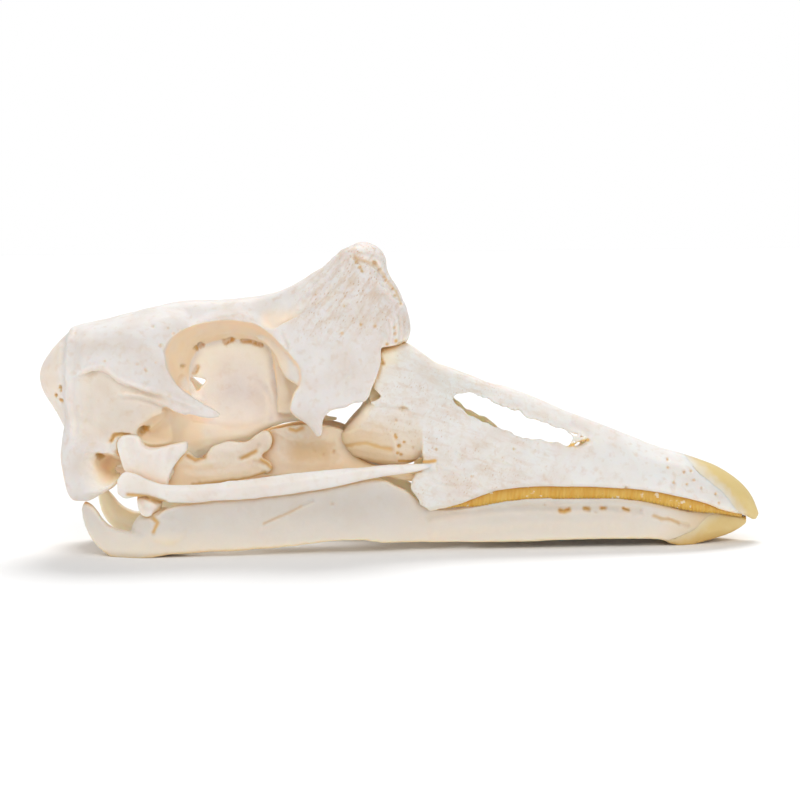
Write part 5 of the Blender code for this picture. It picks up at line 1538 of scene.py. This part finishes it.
palatine = fused(plate("palatine", PALATINE, -0.9, 0.9, 90), 0.35)
palatine = eased(fused(warp(palatine, lean_palatine), 0.3), 3, 0.4)
palatine = joined("palatine_right_bone", [palatine])
clay = Clay(palatine)
clay.press([(-24.9, 22.8), (-21.1, 21.8), (-16.7, 21.4)], 3.6, 0.5)
clay.press([(-24.4, 26.8), (-22.9, 26.1), (-21.3, 26.7)], 1.0, 0.4)
clay.press([(-29.1, 25.7), (-28.4, 24.1), (-28.7, 22.4)], 0.7, 0.35)
clay.press([(-27.7, 26.1), (-24.4, 24.1), (-20.0, 23.6), (-15.6, 24.7)], 0.8, -0.2)
clay.press([(-25.6, 19.3), (-20.0, 18.8), (-13.4, 19.2)], 1.5, -0.25)
clay.dots([(-16.9, 20.8), (-18.7, 21.5), (-14.7, 21.4)], 0.5, 0.3)
clay.swell(2.0, 0.12, 53)
clay.done()
print("palate bones")

# %% Cheek bar
rings = []
for x, y, z, tall in smooth_line(JUGAL, 150):
    thick = 0.72 + 0.18 * max(0.0, min(1.0, (-50.0 - x) / 8.0))
    rings.append([(x, y + thick * math.cos(a), z + tall * math.sin(a))
                  for a in np.linspace(0, 2 * math.pi, 24, endpoint=False)])
jugal = loft("jugal_right_bone", rings)
tip = bar("tip", [
    (-5.6, -14.0, 17.8, 1.3), (-1.9, -13.6, 18.1, 1.25),
    (1.6, -13.2, 18.3, 1.1), (4.7, -12.8, 18.6, 0.85),
    (7.7, -12.4, 18.9, 0.45)], 3)
jugal = joined("jugal_right_bone", [jugal, tip])
jugal = eased(fused(jugal, 0.28), 2, 0.4)
clay = Clay(jugal)
JUGAL_SEAM = [(-58.6, 13.9), (-54.2, 13.4), (-50.8, 12.1)]
clay.press(JUGAL_SEAM, 0.8, 0.35, facing=-0.4)
clay.press([(-50.0, 14.6), (-39.2, 14.7), (-26.2, 15.7), (-13.1, 17.5), (-2.3, 18.9)],
           0.9, -0.15)
clay.swell(4.0, 0.1, 54)
clay.done()
print("cheek bar,", len(jugal.data.polygons), "faces")

# %% [markdown]
# ## Slimming, staining and painted light
# The brushes need a fine, even mesh, but plain areas can do with less, so
# each piece is thinned before it is coloured.  The stain brush then marks
# the places where the bone is brown: open pits and seams.  It also paints
# shade into the temple's bed, the ear's scoop, the palatine's hollow and onto
# the conchae, and other marks paint a glow on the walls and roofs of deep
# hollows.

# %% Thin the meshes, mark the stains and the painted light and shade
# Most triangles of a large bone, of the jaw and of a small piece.
MOST_LARGE = 190000
MOST_JAW = 120000
MOST_SMALL = 40000
slimmed(cranium, MOST_LARGE)
slimmed(bill, MOST_LARGE)
slimmed(jaw, MOST_JAW)
for ob in (nail, jaw_nail, quadrate, pterygoid, palatine, jugal):
    slimmed(ob, MOST_SMALL)

EYE_MIDDLE = (-37.0, 36.0)


def bed_shade(x, wide, z):
    """Where the temple's muscle lay, below its ridge: the recess that gets painted
    shade.
    """
    edge_z = by_x(TEMPLE_EDGE, x)
    return (ramp(edge_z - z, -0.2, 0.8) * ramp(z, 22.0, 28.0)
            * ramp(x, -72.0, -67.0) * ramp(-x, 48.0, 51.0)
            * ramp(wide, 10.0, 12.0))


clay = Clay(cranium)
clay.specks(OCCIPUT_PITS, 0.55, 0.85, facing=-0.8)
clay.specks(EYE_HOLES, 1.1, 0.95, facing=-1.1, band=(1.0, 14.0))
clay.stain([(-38.5, 45.8), (-37.1, 46.2)], 1.1, 0.9, facing=-1.1, band=(0.3, 9.0))
clay.stain([(-34.7, 46.0), (-32.7, 45.7), (-30.5, 45.0)], 0.8, 0.75, facing=-1.1,
           band=(0.3, 9.0))
clay.stain([(-44.9, 40.1), (-45.6, 38.8)], 0.8, 0.6, facing=-1.1, band=(0.3, 14))
clay.stain(SOCKET_HOLE, 0.8, 0.6, facing=-1.1, band=(0.3, 14))
clay.specks(SURFACE_PITS, 0.45, 0.25)
clay.stain(EAR_EDGE, 0.9, 0.7, facing=-0.5)
clay.specks(TEMPLE_HOLES, 1.5, 1.0, facing=-0.6)
clay.specks(EAR_HOLES, 1.2, 0.8, facing=-0.9)
# Painted shade inside the ear's scoop.
clay.stain([(-64.6, 21.8), (-62.4, 21.6), (-60.9, 20.9), (-60.3, 19.1)], 1.5, 0.18,
           facing=-1.1)
# Painted shade in the temple's recessed bed under its ridge.
clay.mark = np.maximum(clay.mark, 0.11 * bed_shade(
    clay.p[:, 0], np.abs(clay.p[:, 1]), clay.p[:, 2]))
clay.specks(KNOB_PITS, 0.55, 0.5, facing=-0.3)
clay.specks(CAP_PITS, 0.6, 0.55, facing=-0.3)
clay.stain(CAP_GROOVE, 0.55, 0.3, facing=-0.3)
clay.stain(LOBE_GROOVE, 0.5, 0.3, facing=-0.3)
clay.stain([(0.1, 45.0), (1.0, 44.4), (1.9, 44.8)], 1.0, 0.5, facing=-1.1)
clay.specks([(-3.4, 43.1), (-3.2, 41.6), (-3.7, 39.9), (-4.1, 38.1), (-2.5, 45.3),
             (-0.5, 46.0)], 0.6, 0.75, facing=-0.6)
clay.keep_marks()
x, y, z = clay.p.T
clay.mark = (ramp(z, 43.0, 52.0) * ramp(x, -27.0, -17.0)
             * (0.75 + 0.25 * lumps(clay.p, 4.0, 61)))
clay.keep_marks("pitted")
# Painted light: the walls of the eye sockets, the temple's bed, the nose room
# and the ear's scoop get a painted glow in place of light that shines through
# thin bone; the back of the braincase gets a little of the same colour.
wide = np.abs(y)
steep = 1.0 - ramp(np.abs(clay.n[:, 1]), 0.5, 0.85)
steep *= ramp(clay.n[:, 0] * (EYE_MIDDLE[0] - x)
              + clay.n[:, 2] * (EYE_MIDDLE[1] - z), 0.0, 2.0)
socket = (ramp(x, -54.0, -50.5) * ramp(-x, 19.0, 22.0)
          * ramp(z, 27.0, 30.0) * ramp(-z, -54.0, -51.0)
          * ramp(-wide, -15.5, -12.5))
sheets = (0.6 * socket * ramp(x, -31.0, -28.5) * ramp(wide, 1.2, 2.4)
          * ramp(-wide, -10.8, -9.6))
pocket = (0.8 * ramp(x, -59.0, -56.0) * ramp(-x, 41.0, 45.0)
          * ramp(z, 21.0, 23.5) * ramp(-z, -33.0, -30.5)
          * ramp(-wide, -16.2, -13.8))
under = 0.4 * ramp(x, -48.0, -44.0) * ramp(-z, -28.5, -26.5) * ramp(
    -wide, -12.0, -10.0)
room = (ramp(x, -20.0, -18.5) * ramp(-z, -43.0, -41.0)
        * ramp(-wide, -10.4, -9.6))
scoop = (0.8 * ramp(x, -75.0, -73.0) * ramp(-x, 58.0, 61.0)
         * ramp(z, 11.0, 13.0) * ramp(-z, -24.0, -21.0)
         * ramp(-wide, -15.5, -13.5))
clay.mark = np.max([steep * ramp(wide, 0.9, 1.8) * socket, sheets, pocket,
                    under, room, scoop, 0.35 * ramp(-x, 73.0, 75.5)],
                   axis=0)
clay.mark *= 0.85 + 0.25 * lumps(clay.p, 2.5, 63)
clay.keep_marks("painted_glow")

clay = Clay(bill)
clay.specks(BILL_HOLES, 0.45, 0.55)
clay.specks(BILL_PORES, 0.45, 0.4)
clay.specks([(-4.0, 43.9), (-3.9, 41.9), (-3.6, 41.1)], 0.8, 0.8, facing=-0.6)
clay.stain([(-2.9, 44.5), (-2.3, 45.0), (-0.8, 45.8), (1.0, 45.8)], 0.7, 0.5,
           facing=-0.9)
clay.stain([(-4.1, 43.7), (-3.6, 41.9), (-3.9, 40.2), (-4.5, 38.0)], 0.5, 0.4,
           facing=-0.9)
p = clay.p
wander = 1.2 * lumps(p, 1.6, 71) + 0.6 * lumps(p, 0.6, 72)
# Painted shade: the concha's thin shell is tinted light brown for the dim room seen
# through it, more towards its rear.
concha = (ramp(-p[:, 0] + wander, -5.2, -4.0)
          * ramp(-p[:, 2], -32.5, -24.0) * ramp(p[:, 2], 18.6, 19.6))
left = ramp(-p[:, 0], -2.0, 6.0)
clay.mark = np.maximum(clay.mark, concha * (0.17 + 0.17 * left))
clay.stain(CONCHA_FOLD, 1.6, 0.5, facing=-0.2)
clay.specks([(-0.9, 25.5), (-0.7, 25.0), (-0.1, 23.1), (-0.5, 21.5), (0.3, 21.1),
             (1.0, 23.9)], 0.7, 0.8, facing=-0.4)
clay.stain([(37.2, 22.6), (39.0, 23.0), (40.7, 23.7), (41.6, 23.6)], 0.6, 0.85)
clay.stain([(-0.1, 19.7), (3.2, 19.5), (6.4, 19.7), (7.8, 19.9)], 0.6, 0.8, facing=-0.8)
clay.keep_marks()
clay.mark = (0.75 * ramp(-p[:, 0], -45.0, -20.0)
             * (0.6 + 0.4 * lumps(p, 3.0, 62)))
clay.keep_marks("pitted")
# Painted light: walls that face inwards, the thin middle wall, faces that look back and
# the seam under the knob get a painted glow in place of light through the thin bone.
inside = ramp(-clay.n[:, 1] * np.sign(p[:, 1]), -0.1, 0.4)
wall = ramp(-np.abs(p[:, 1]), -1.4, -0.9) * ramp(-p[:, 0], -4.0, -2.0)
back = 0.45 * ramp(-clay.n[:, 0], 0.2, 0.5) * ramp(-p[:, 0], 2.0, 6.0)
seam = 0.4 * ramp(-p[:, 0], -1.0, 2.0) * ramp(p[:, 2], 40.0, 42.0)
clay.mark = np.max([inside, wall, back, seam], axis=0)
clay.keep_marks("painted_glow")

clay = Clay(jaw)
for slot, width, amount in zip(
        JAW_SLOTS, (0.7, 0.6, 0.6, 0.6), (0.85, 0.8, 0.7, 0.8)):
    clay.stain(slot, width, amount)
clay.stain([(56.0, 6.8), (57.6, 6.1), (59.8, 5.9), (61.7, 4.9)], 0.7, 0.45)
clay.stain([(-29.7, 6.8), (-27.5, 7.8), (-24.2, 9.1), (-21.6, 10.4)], 0.45, 0.3)
clay.stain(JAW_CRACK, 0.8, 0.6)
x, y, z = clay.p.T
rim = ramp(z - by_x(JAW_TOP, x), -1.5, -0.3) * ramp(x, 42.0, 60.0)
clay.mark = np.maximum(clay.mark, np.maximum(
    ramp(x, 56.0, 70.0) * 0.34, rim * 0.4))
clay.keep_marks()
# Painted light: the inner faces of the jaw's rear part get a painted glow where they
# lie in shade.
clay.mark = (ramp(-clay.n[:, 1] * np.sign(y), -0.1, 0.5)
             * ramp(-x, -24.0, -6.0))
clay.keep_marks("painted_glow")

for ob, lines in (
        (quadrate, [QUADRATE_SEAM]),
        (pterygoid, [[(-46.5, 21.3), (-45.0, 20.2), (-43.0, 20.8)],
                     [(-34.8, 20.3), (-33.3, 21.0), (-31.7, 21.8)],
                     [(-30.6, 20.0), (-29.3, 19.1), (-28.4, 18.0)],
                     [(-45.5, 14.8), (-40.0, 15.2), (-33.3, 15.8), (-29.8, 17.1)]]),
        (palatine, [[(-24.2, 26.5), (-22.9, 26.1), (-21.5, 26.7)],
                    [(-28.8, 25.7), (-28.4, 24.1), (-28.7, 22.8)]]),
        (jugal, [JUGAL_SEAM])):
    clay = Clay(ob)
    if ob == palatine:
        # Painted shade in the palatine's shallow hollow.
        clay.stain([(-22.3, 21.4), (-19.6, 21.2), (-16.9, 21.4)], 4.5, 0.36)
    for line in lines:
        clay.stain(line, 0.8, 0.6, facing=-0.6)
    clay.keep_marks()

# A nail is thin and pale at its rear edge and deep yellow at its tip.
for ob, line in ((nail, NAIL_EDGE), (jaw_nail, JAW_NAIL_EDGE)):
    clay = Clay(ob)
    edge = np.array(smooth_line(line, 60))
    gap = np.min(np.linalg.norm(
        clay.p[:, None, (0, 2)] - edge[None], axis=2), axis=1)
    clay.p -= clay.n * (0.06 * (1.0 - ramp(gap, 0.1, 0.6)))[:, None]
    clay.done()
    clay.mark = (0.75 * ramp(gap + 0.6 * lumps(clay.p, 1.0, 81), 0.2, 2.8)
                 + 0.25 * ramp(gap, 5.0, 13.0))
    clay.keep_marks()
print("stained")

# %% [markdown]
# ## Finishes
# Clean bone is white with a slight cream tint and a little see-through.
# Ambient Occlusion nodes tell how deep in a hollow a point lies, and from them
# light and shade are painted into the colour: hollows are painted lighter and
# deep ones a light brown glow, in place of light that bounces inside them and
# shines through the thin bone, and narrow creases get painted shade.  Noise
# adds clouds and pores, because no part of a real bone has one colour.

# %% Ways to build a node finish
def colour(r, g, b):
    """Colour from screen values, 0 to 255."""
    def line(v):
        v /= 255.0
        return v / 12.92 if v <= 0.04045 else ((v + 0.055) / 1.055) ** 2.4
    return (line(r), line(g), line(b), 1.0)


class Finish:
    """A material whose nodes are added one by one."""

    def __init__(self, name, roughness, specular, sheer, sheer_size):
        self.material = bpy.data.materials.new(name)
        self.material.use_nodes = True
        self.tree = self.material.node_tree
        self.shader = self.tree.nodes["Principled BSDF"]
        self.shader.inputs["Roughness"].default_value = roughness
        self.shader.inputs["Specular IOR Level"].default_value = specular
        self.shader.inputs["Subsurface Weight"].default_value = sheer
        self.shader.inputs["Subsurface Radius"].default_value = (
            1.0, 0.62, 0.42)
        self.shader.inputs["Subsurface Scale"].default_value = sheer_size
        self.place = self.add("ShaderNodeTexCoord").outputs["Object"]

    def add(self, kind, settings=None, **links):
        node = self.tree.nodes.new(kind)
        for key, value in (settings or {}).items():
            if hasattr(node, key):
                setattr(node, key, value)
            else:
                node.inputs[key].default_value = value
        for key, value in links.items():
            socket = node.inputs[key.replace("_", " ")]
            if isinstance(value, bpy.types.NodeSocket):
                self.tree.links.new(value, socket)
            else:
                socket.default_value = value
        return node

    def stretched(self, stretch, tilt=0.0):
        """Places drawn out along the axes, then tilted in the side view."""
        return self.add("ShaderNodeMapping", {
            "vector_type": "TEXTURE", "Rotation": (0.0, tilt, 0.0),
            "Scale": stretch}, Vector=self.place).outputs[0]

    def noise(self, scale, detail=3.0, place=None, twist=0.0):
        return self.add("ShaderNodeTexNoise", {
            "Scale": scale, "Detail": detail, "Distortion": twist},
            Vector=place or self.place).outputs[0]

    def times(self, first, second):
        node = self.add("ShaderNodeMath", {"operation": "MULTIPLY"})
        self.tree.links.new(first, node.inputs[0])
        self.tree.links.new(second, node.inputs[1])
        return node.outputs[0]

    def remap(self, value, low, high, to_low=0.0, to_high=1.0):
        return self.add("ShaderNodeMapRange", {
            "From Min": low, "From Max": high, "To Min": to_low,
            "To Max": to_high}, Value=value).outputs[0]

    def mix(self, factor, first, second):
        node = self.add("ShaderNodeMix", {"data_type": "RGBA"})
        for socket, value in zip((node.inputs[0], node.inputs[6],
                                  node.inputs[7]), (factor, first, second)):
            if isinstance(value, bpy.types.NodeSocket):
                self.tree.links.new(value, socket)
            else:
                socket.default_value = value
        return node.outputs[2]

    def hollow(self, distance):
        """How much of the sky a point misses within a distance in m."""
        node = self.add("ShaderNodeAmbientOcclusion", {
            "samples": 8, "Distance": distance})
        return node.outputs["AO"]

    def mark(self, name="stain"):
        return self.add("ShaderNodeAttribute",
                        {"attribute_name": name}).outputs["Fac"]

    def bump(self, height, strength, distance, below=None):
        node = self.add("ShaderNodeBump", {
            "Strength": strength, "Distance": distance}, Height=height)
        if below is not None:
            self.tree.links.new(below, node.inputs["Normal"])
        return node.outputs[0]

    def close(self, base, normal, roughness=None):
        self.tree.links.new(base, self.shader.inputs["Base Color"])
        self.tree.links.new(normal, self.shader.inputs["Normal"])
        if roughness is not None:
            self.tree.links.new(roughness, self.shader.inputs["Roughness"])
        return self.material


# %% Bone
SHEER = 0.6

# Colours that the bones share: clouds, streaks, pits, painted shade in creases,
# and stains, which also carry painted shade in a few hollows.
DUSTY = (208, 190, 172)
STREAK = (204, 178, 152)
PIT = (190, 146, 96)
CREASE_SHADE = (218, 180, 128)
STAIN_EDGE = (215, 184, 137)
STAIN_CORE = (216, 158, 66)


def bone_finish(name, white, blush, cream, painted_hollow_light, painted_deep_glow, painted_glow, mottle=0.5,
                grain=(0.5, 1.0, 2.4), lean=0.6):
    f = Finish(name, 0.6, 0.3, SHEER, 0.0022)
    pitted = f.mark("pitted")
    clouds = f.remap(f.noise(140.0, 4.0), 0.42, 0.68)
    specks = f.remap(f.noise(620.0, 5.0), 0.54, 0.74, 0.0, mottle)
    base = f.mix(clouds, colour(*white), colour(*blush))
    base = f.mix(specks, base, colour(*cream))
    patches = f.remap(f.noise(600.0, 6.0, twist=1.2), 0.48, 0.64, 0.0, 0.5)
    base = f.mix(f.times(patches, pitted), base, colour(*cream))
    streaks = f.remap(f.noise(480.0, 5.0, f.stretched(grain, lean)),
                      0.50, 0.64, 0.0, 0.5)
    base = f.mix(f.times(streaks, pitted), base, colour(*STREAK))
    cells = f.add("ShaderNodeTexVoronoi", {"Scale": 1350.0},
                  Vector=f.stretched((0.7, 1.0, 1.5), 0.6)).outputs["Distance"]
    pits = f.times(f.remap(cells, 0.08, 0.3, 0.9, 0.0), pitted)
    pits = f.times(pits, f.remap(f.noise(260.0, 2.0), 0.42, 0.54))
    base = f.mix(pits, base, colour(*PIT))
    # Painted light: open hollows are painted lighter and deep ones a light brown glow,
    # in place of light that bounces inside them and shines through the thin bone; the
    # marked walls get the same painted glow.
    open_sky = f.hollow(0.012)
    near_sky = f.hollow(0.0018)
    painted_light_mask = f.times(f.remap(open_sky, 0.66, 0.96, 1.0, 0.0),
                          f.remap(near_sky, 0.72, 0.95))
    base = f.mix(painted_light_mask, base, colour(*painted_hollow_light))
    base = f.mix(f.remap(open_sky, 0.22, 0.62, 1.0, 0.0), base, colour(*painted_deep_glow))
    base = f.mix(f.mark("painted_glow"), base, colour(*painted_glow))
    # Painted shade in narrow creases.
    painted_crease_shade = f.remap(near_sky, 0.2, 0.92, 0.8, 0.0)
    base = f.mix(painted_crease_shade, base, colour(*CREASE_SHADE))
    mark = f.mark()
    base = f.mix(f.remap(mark, 0.0, 0.5), base, colour(*STAIN_EDGE))
    base = f.mix(f.remap(mark, 0.4, 1.0), base, colour(*STAIN_CORE))
    pores = f.add("ShaderNodeTexVoronoi", {"Scale": 1500.0},
                  Vector=f.place).outputs["Distance"]
    normal = f.bump(f.remap(pores, 0.0, 0.35), 0.10, 0.00006)
    normal = f.bump(f.remap(pits, 0.0, 0.6, 1.0, 0.0), 0.5, 0.00012, normal)
    normal = f.bump(f.times(streaks, pitted), 0.5, 0.00025, normal)
    normal = f.bump(f.noise(900.0, 5.0), 0.22, 0.0002, normal)
    normal = f.bump(f.noise(260.0, 3.0), 0.20, 0.0006, normal)
    rough = f.remap(f.noise(500.0, 2.0), 0.3, 0.7, 0.5, 0.68)
    return f.close(base, normal, rough)


# Each bone's last three colours are painted light: hollows painted lighter, deep
# hollows painted a light brown glow, and the glow on its marked walls.
cranium_bone = bone_finish("cranium_bone", (222, 218, 215), (215, 206, 198),
                           DUSTY, (255, 247, 236), (255, 226, 184),
                           (247, 222, 189))
bill_bone = bone_finish("bill_bone", (225, 223, 220), (219, 212, 205),
                        DUSTY, (240, 230, 216), (255, 226, 184),
                        (255, 240, 214), grain=(2.4, 1.0, 0.5), lean=0.3)
# The jaw's whites are darker than the cranium's: painted shade for the low jaw, which
# the light reaches less.
jaw_bone = bone_finish("jaw_bone", (207, 202, 196), (204, 196, 187),
                       (200, 187, 170), (232, 223, 210), (252, 228, 190),
                       (255, 240, 212), 0.3)
pale_bone = bone_finish("pale_bone", (231, 227, 223), (226, 219, 211),
                        (212, 196, 176), (240, 227, 212), (252, 224, 182),
                        (255, 236, 204), 0.3)
pterygoid_bone = bone_finish("pterygoid_bone", (228, 222, 213),
                             (222, 210, 195), (210, 190, 162),
                             (242, 226, 202), (252, 218, 170),
                             (250, 214, 160), 0.4)
small_bone = bone_finish("small_bone", (222, 213, 202), (217, 202, 184),
                         (210, 190, 162), (238, 218, 190), (250, 210, 156),
                         (250, 214, 160), 0.4)
print("bone finishes")

# %% [markdown]
# Horn is smoother and glossier than bone and lets more light in.  It grows
# in layers, so its streaks run along it, and it is palest where it is thin.

# %% Horn
def horn_finish(name, pale, yellow, deep):
    f = Finish(name, 0.38, 0.45, 0.2, 0.002)
    streak = f.remap(f.noise(260.0, 4.0, f.stretched((2.8, 1.0, 1.0), 0.5)),
                     0.35, 0.7)
    base = f.mix(f.remap(f.mark(), 0.0, 0.75), colour(*pale),
                 colour(*yellow))
    base = f.mix(f.remap(f.mark(), 0.75, 1.0, 0.0, 0.55), base,
                 colour(*deep))
    base = f.mix(f.remap(streak, 0.0, 1.0, 0.0, 0.35), base,
                 colour(*deep))
    shade = f.remap(f.hollow(0.004), 0.3, 0.85, 0.8, 0.0)
    base = f.mix(shade, base, colour(*deep))
    normal = f.bump(f.noise(800.0, 4.0, f.stretched((2.5, 1.0, 1.0), 0.5)),
                    0.12, 0.0002)
    return f.close(base, normal)


nail_horn = horn_finish("nail_horn", (224, 219, 209), (220, 198, 139),
                        (210, 174, 92))
jaw_nail_horn = horn_finish("jaw_nail_horn", (224, 212, 180),
                            (220, 198, 140), (206, 162, 82))


def comb_finish():
    f = Finish("lamella_horn", 0.4, 0.5, 0.3, 0.002)
    fibres = f.stretched((0.5, 1.0, 2.6), 0.15)
    teeth = f.remap(f.noise(520.0, 4.0, fibres), 0.35, 0.65)
    base = f.mix(teeth, colour(216, 176, 84), colour(208, 156, 54))
    shade = f.remap(f.hollow(0.003), 0.2, 0.85, 1.0, 0.0)
    base = f.mix(shade, base, colour(206, 138, 10))
    chips = f.remap(f.noise(700.0, 2.0), 0.66, 0.72, 0.0, 0.8)
    base = f.mix(chips, base, colour(232, 220, 196))
    normal = f.bump(f.noise(1200.0, 3.0, fibres), 0.2, 0.0002)
    return f.close(base, normal)


lamella_horn = comb_finish()
print("horn finishes")

# %% [markdown]
# ## Put the pieces together
# Every piece rides on the one body of the skull, and stands for the plain
# solid of the same bone.

# %% Copy the right side, place all pieces
pieces = [
    (cranium, cranium_bone, "bone", "cranium"),
    (bill, bill_bone, "bone", "upper_bill"),
    (nail, nail_horn, "horn", "bill_nail"),
    (jaw, jaw_bone, "bone", "mandible"),
    (jaw_nail, jaw_nail_horn, "horn", "mandible_nail"),
]
for right, finish, slot, node in (
        (lamellae, lamella_horn, "lamella", "bill_lamellae"),
        (quadrate, pale_bone, "inner_bone", "quadrate"),
        (pterygoid, pterygoid_bone, "inner_bone", "pterygoid"),
        (palatine, small_bone, "inner_bone", "palatine"),
        (jugal, pale_bone, "inner_bone", "jugal_bar")):
    left = copied(right, right.name.replace("right", "left"), True)
    pieces.append((right, finish, slot, node + "_right"))
    pieces.append((left, finish, slot, node + "_left"))

# Under its nail the jaw's bone stays clear of the surface below.
SOLE = 0.25
warp(jaw, lambda x, y, z: (x, y, np.maximum(
    z, SOLE * ramp(x, 58.3, 59.5))))
reach = [f(points_of(piece[0])[:, 0]) for piece in pieces
         for f in (np.min, np.max)]
middle = (min(reach) + max(reach)) / 2
total = 0
for ob, finish, slot, node in pieces:
    warp(ob, lambda x, y, z: (x - middle, y, np.maximum(z, 0.0)))
    select(ob)
    bpy.ops.object.shade_smooth()
    ob.data.materials.clear()
    ob.data.materials.append(finish)
    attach(ob, "root")
    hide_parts(node)
    count = sum(len(face.vertices) - 2 for face in ob.data.polygons)
    total += count
    print(ob.name, count)
print("all pieces", total, "triangles, middle", round(middle, 3))

# %% [markdown]
# ## Floor, light and camera
# The skull stands on white paper in very soft light.  The sky is an even
# white that lights the skull less than it shows.  Two broad lamps on the
# camera's side reach into the hollows, so that these glow instead of going
# grey, and a third from above draws the soft shadow under the jaw.

# %% Floor
bpy.ops.object.select_all(action="DESELECT")
bpy.ops.mesh.primitive_plane_add(size=6.0, location=(0, 1.5, 0))
floor = bpy.context.object
floor.name = "floor"
settle(floor)
paper = bpy.data.materials.new("paper")
paper.use_nodes = True
paper_shader = paper.node_tree.nodes["Principled BSDF"]
PAPER_WHITE = (0.9, 0.9, 0.9, 1.0)
paper_shader.inputs["Base Color"].default_value = PAPER_WHITE
paper_shader.inputs["Roughness"].default_value = 0.9
paper_shader.inputs["Specular IOR Level"].default_value = 0.1
floor.data.materials.append(paper)

# %% Sky and lamps
# Strength of the sky on the skull, and where the camera sees it.
SKY_LIGHT = 0.42
SKY_SEEN = 1.0
world = bpy.data.worlds.new("studio")
world.use_nodes = True
sky = world.node_tree.nodes["Background"]
sky.inputs["Color"].default_value = (1.0, 1.0, 1.0, 1.0)
rays = world.node_tree.nodes.new("ShaderNodeLightPath")
power = world.node_tree.nodes.new("ShaderNodeMapRange")
power.inputs["To Min"].default_value = SKY_LIGHT
power.inputs["To Max"].default_value = SKY_SEEN
world.node_tree.links.new(rays.outputs["Is Camera Ray"], power.inputs["Value"])
world.node_tree.links.new(power.outputs[0], sky.inputs["Strength"])
bpy.context.scene.world = world


LAMP_AIM = Vector((0, 0, 0.03))


def lamp(name, place, spread, strength):
    """Sun whose broad disk gives shadows with soft edges."""
    data = bpy.data.lights.new(name, "SUN")
    data.angle = spread
    data.energy = strength
    ob = bpy.data.objects.new(name, data)
    bpy.context.scene.collection.objects.link(ob)
    ob.location = place
    way = LAMP_AIM - Vector(place)
    ob.rotation_euler = way.to_track_quat("-Z", "Y").to_euler()


lamp("front", (0.28, -0.78, 0.59), 1.0, 1.22)
lamp("rear_side", (-0.80, -0.35, 0.53), 1.2, 0.6)
lamp("top", (0.08, 0.56, 0.82), 0.45, 2.0)

# %% Camera
SENSOR = 36.0
PHOTO_WIDTH = 800
MM_PER_PIXEL = 0.2238
CAMERA = Vector((0.0, -0.480, 0.072))
TARGET = Vector((0.0, 0.0, 0.03225))
ROLL = math.radians(-0.55)
camera_data = bpy.data.cameras.new("camera")
camera = bpy.data.objects.new("camera", camera_data)
bpy.context.scene.collection.objects.link(camera)
distance = (TARGET - CAMERA).length
camera_data.sensor_width = SENSOR
camera_data.lens = SENSOR * distance / MM / (PHOTO_WIDTH * MM_PER_PIXEL)
camera_data.clip_start = 0.01
turn = (TARGET - CAMERA).to_track_quat("-Z", "Y").to_matrix().to_4x4()
camera.matrix_world = (Matrix.Translation(CAMERA) @ turn
                       @ Matrix.Rotation(ROLL, 4, "Z"))
bpy.context.scene.camera = camera
bpy.context.scene.view_settings.view_transform = "Standard"
print("lens", round(camera_data.lens, 1), "mm")
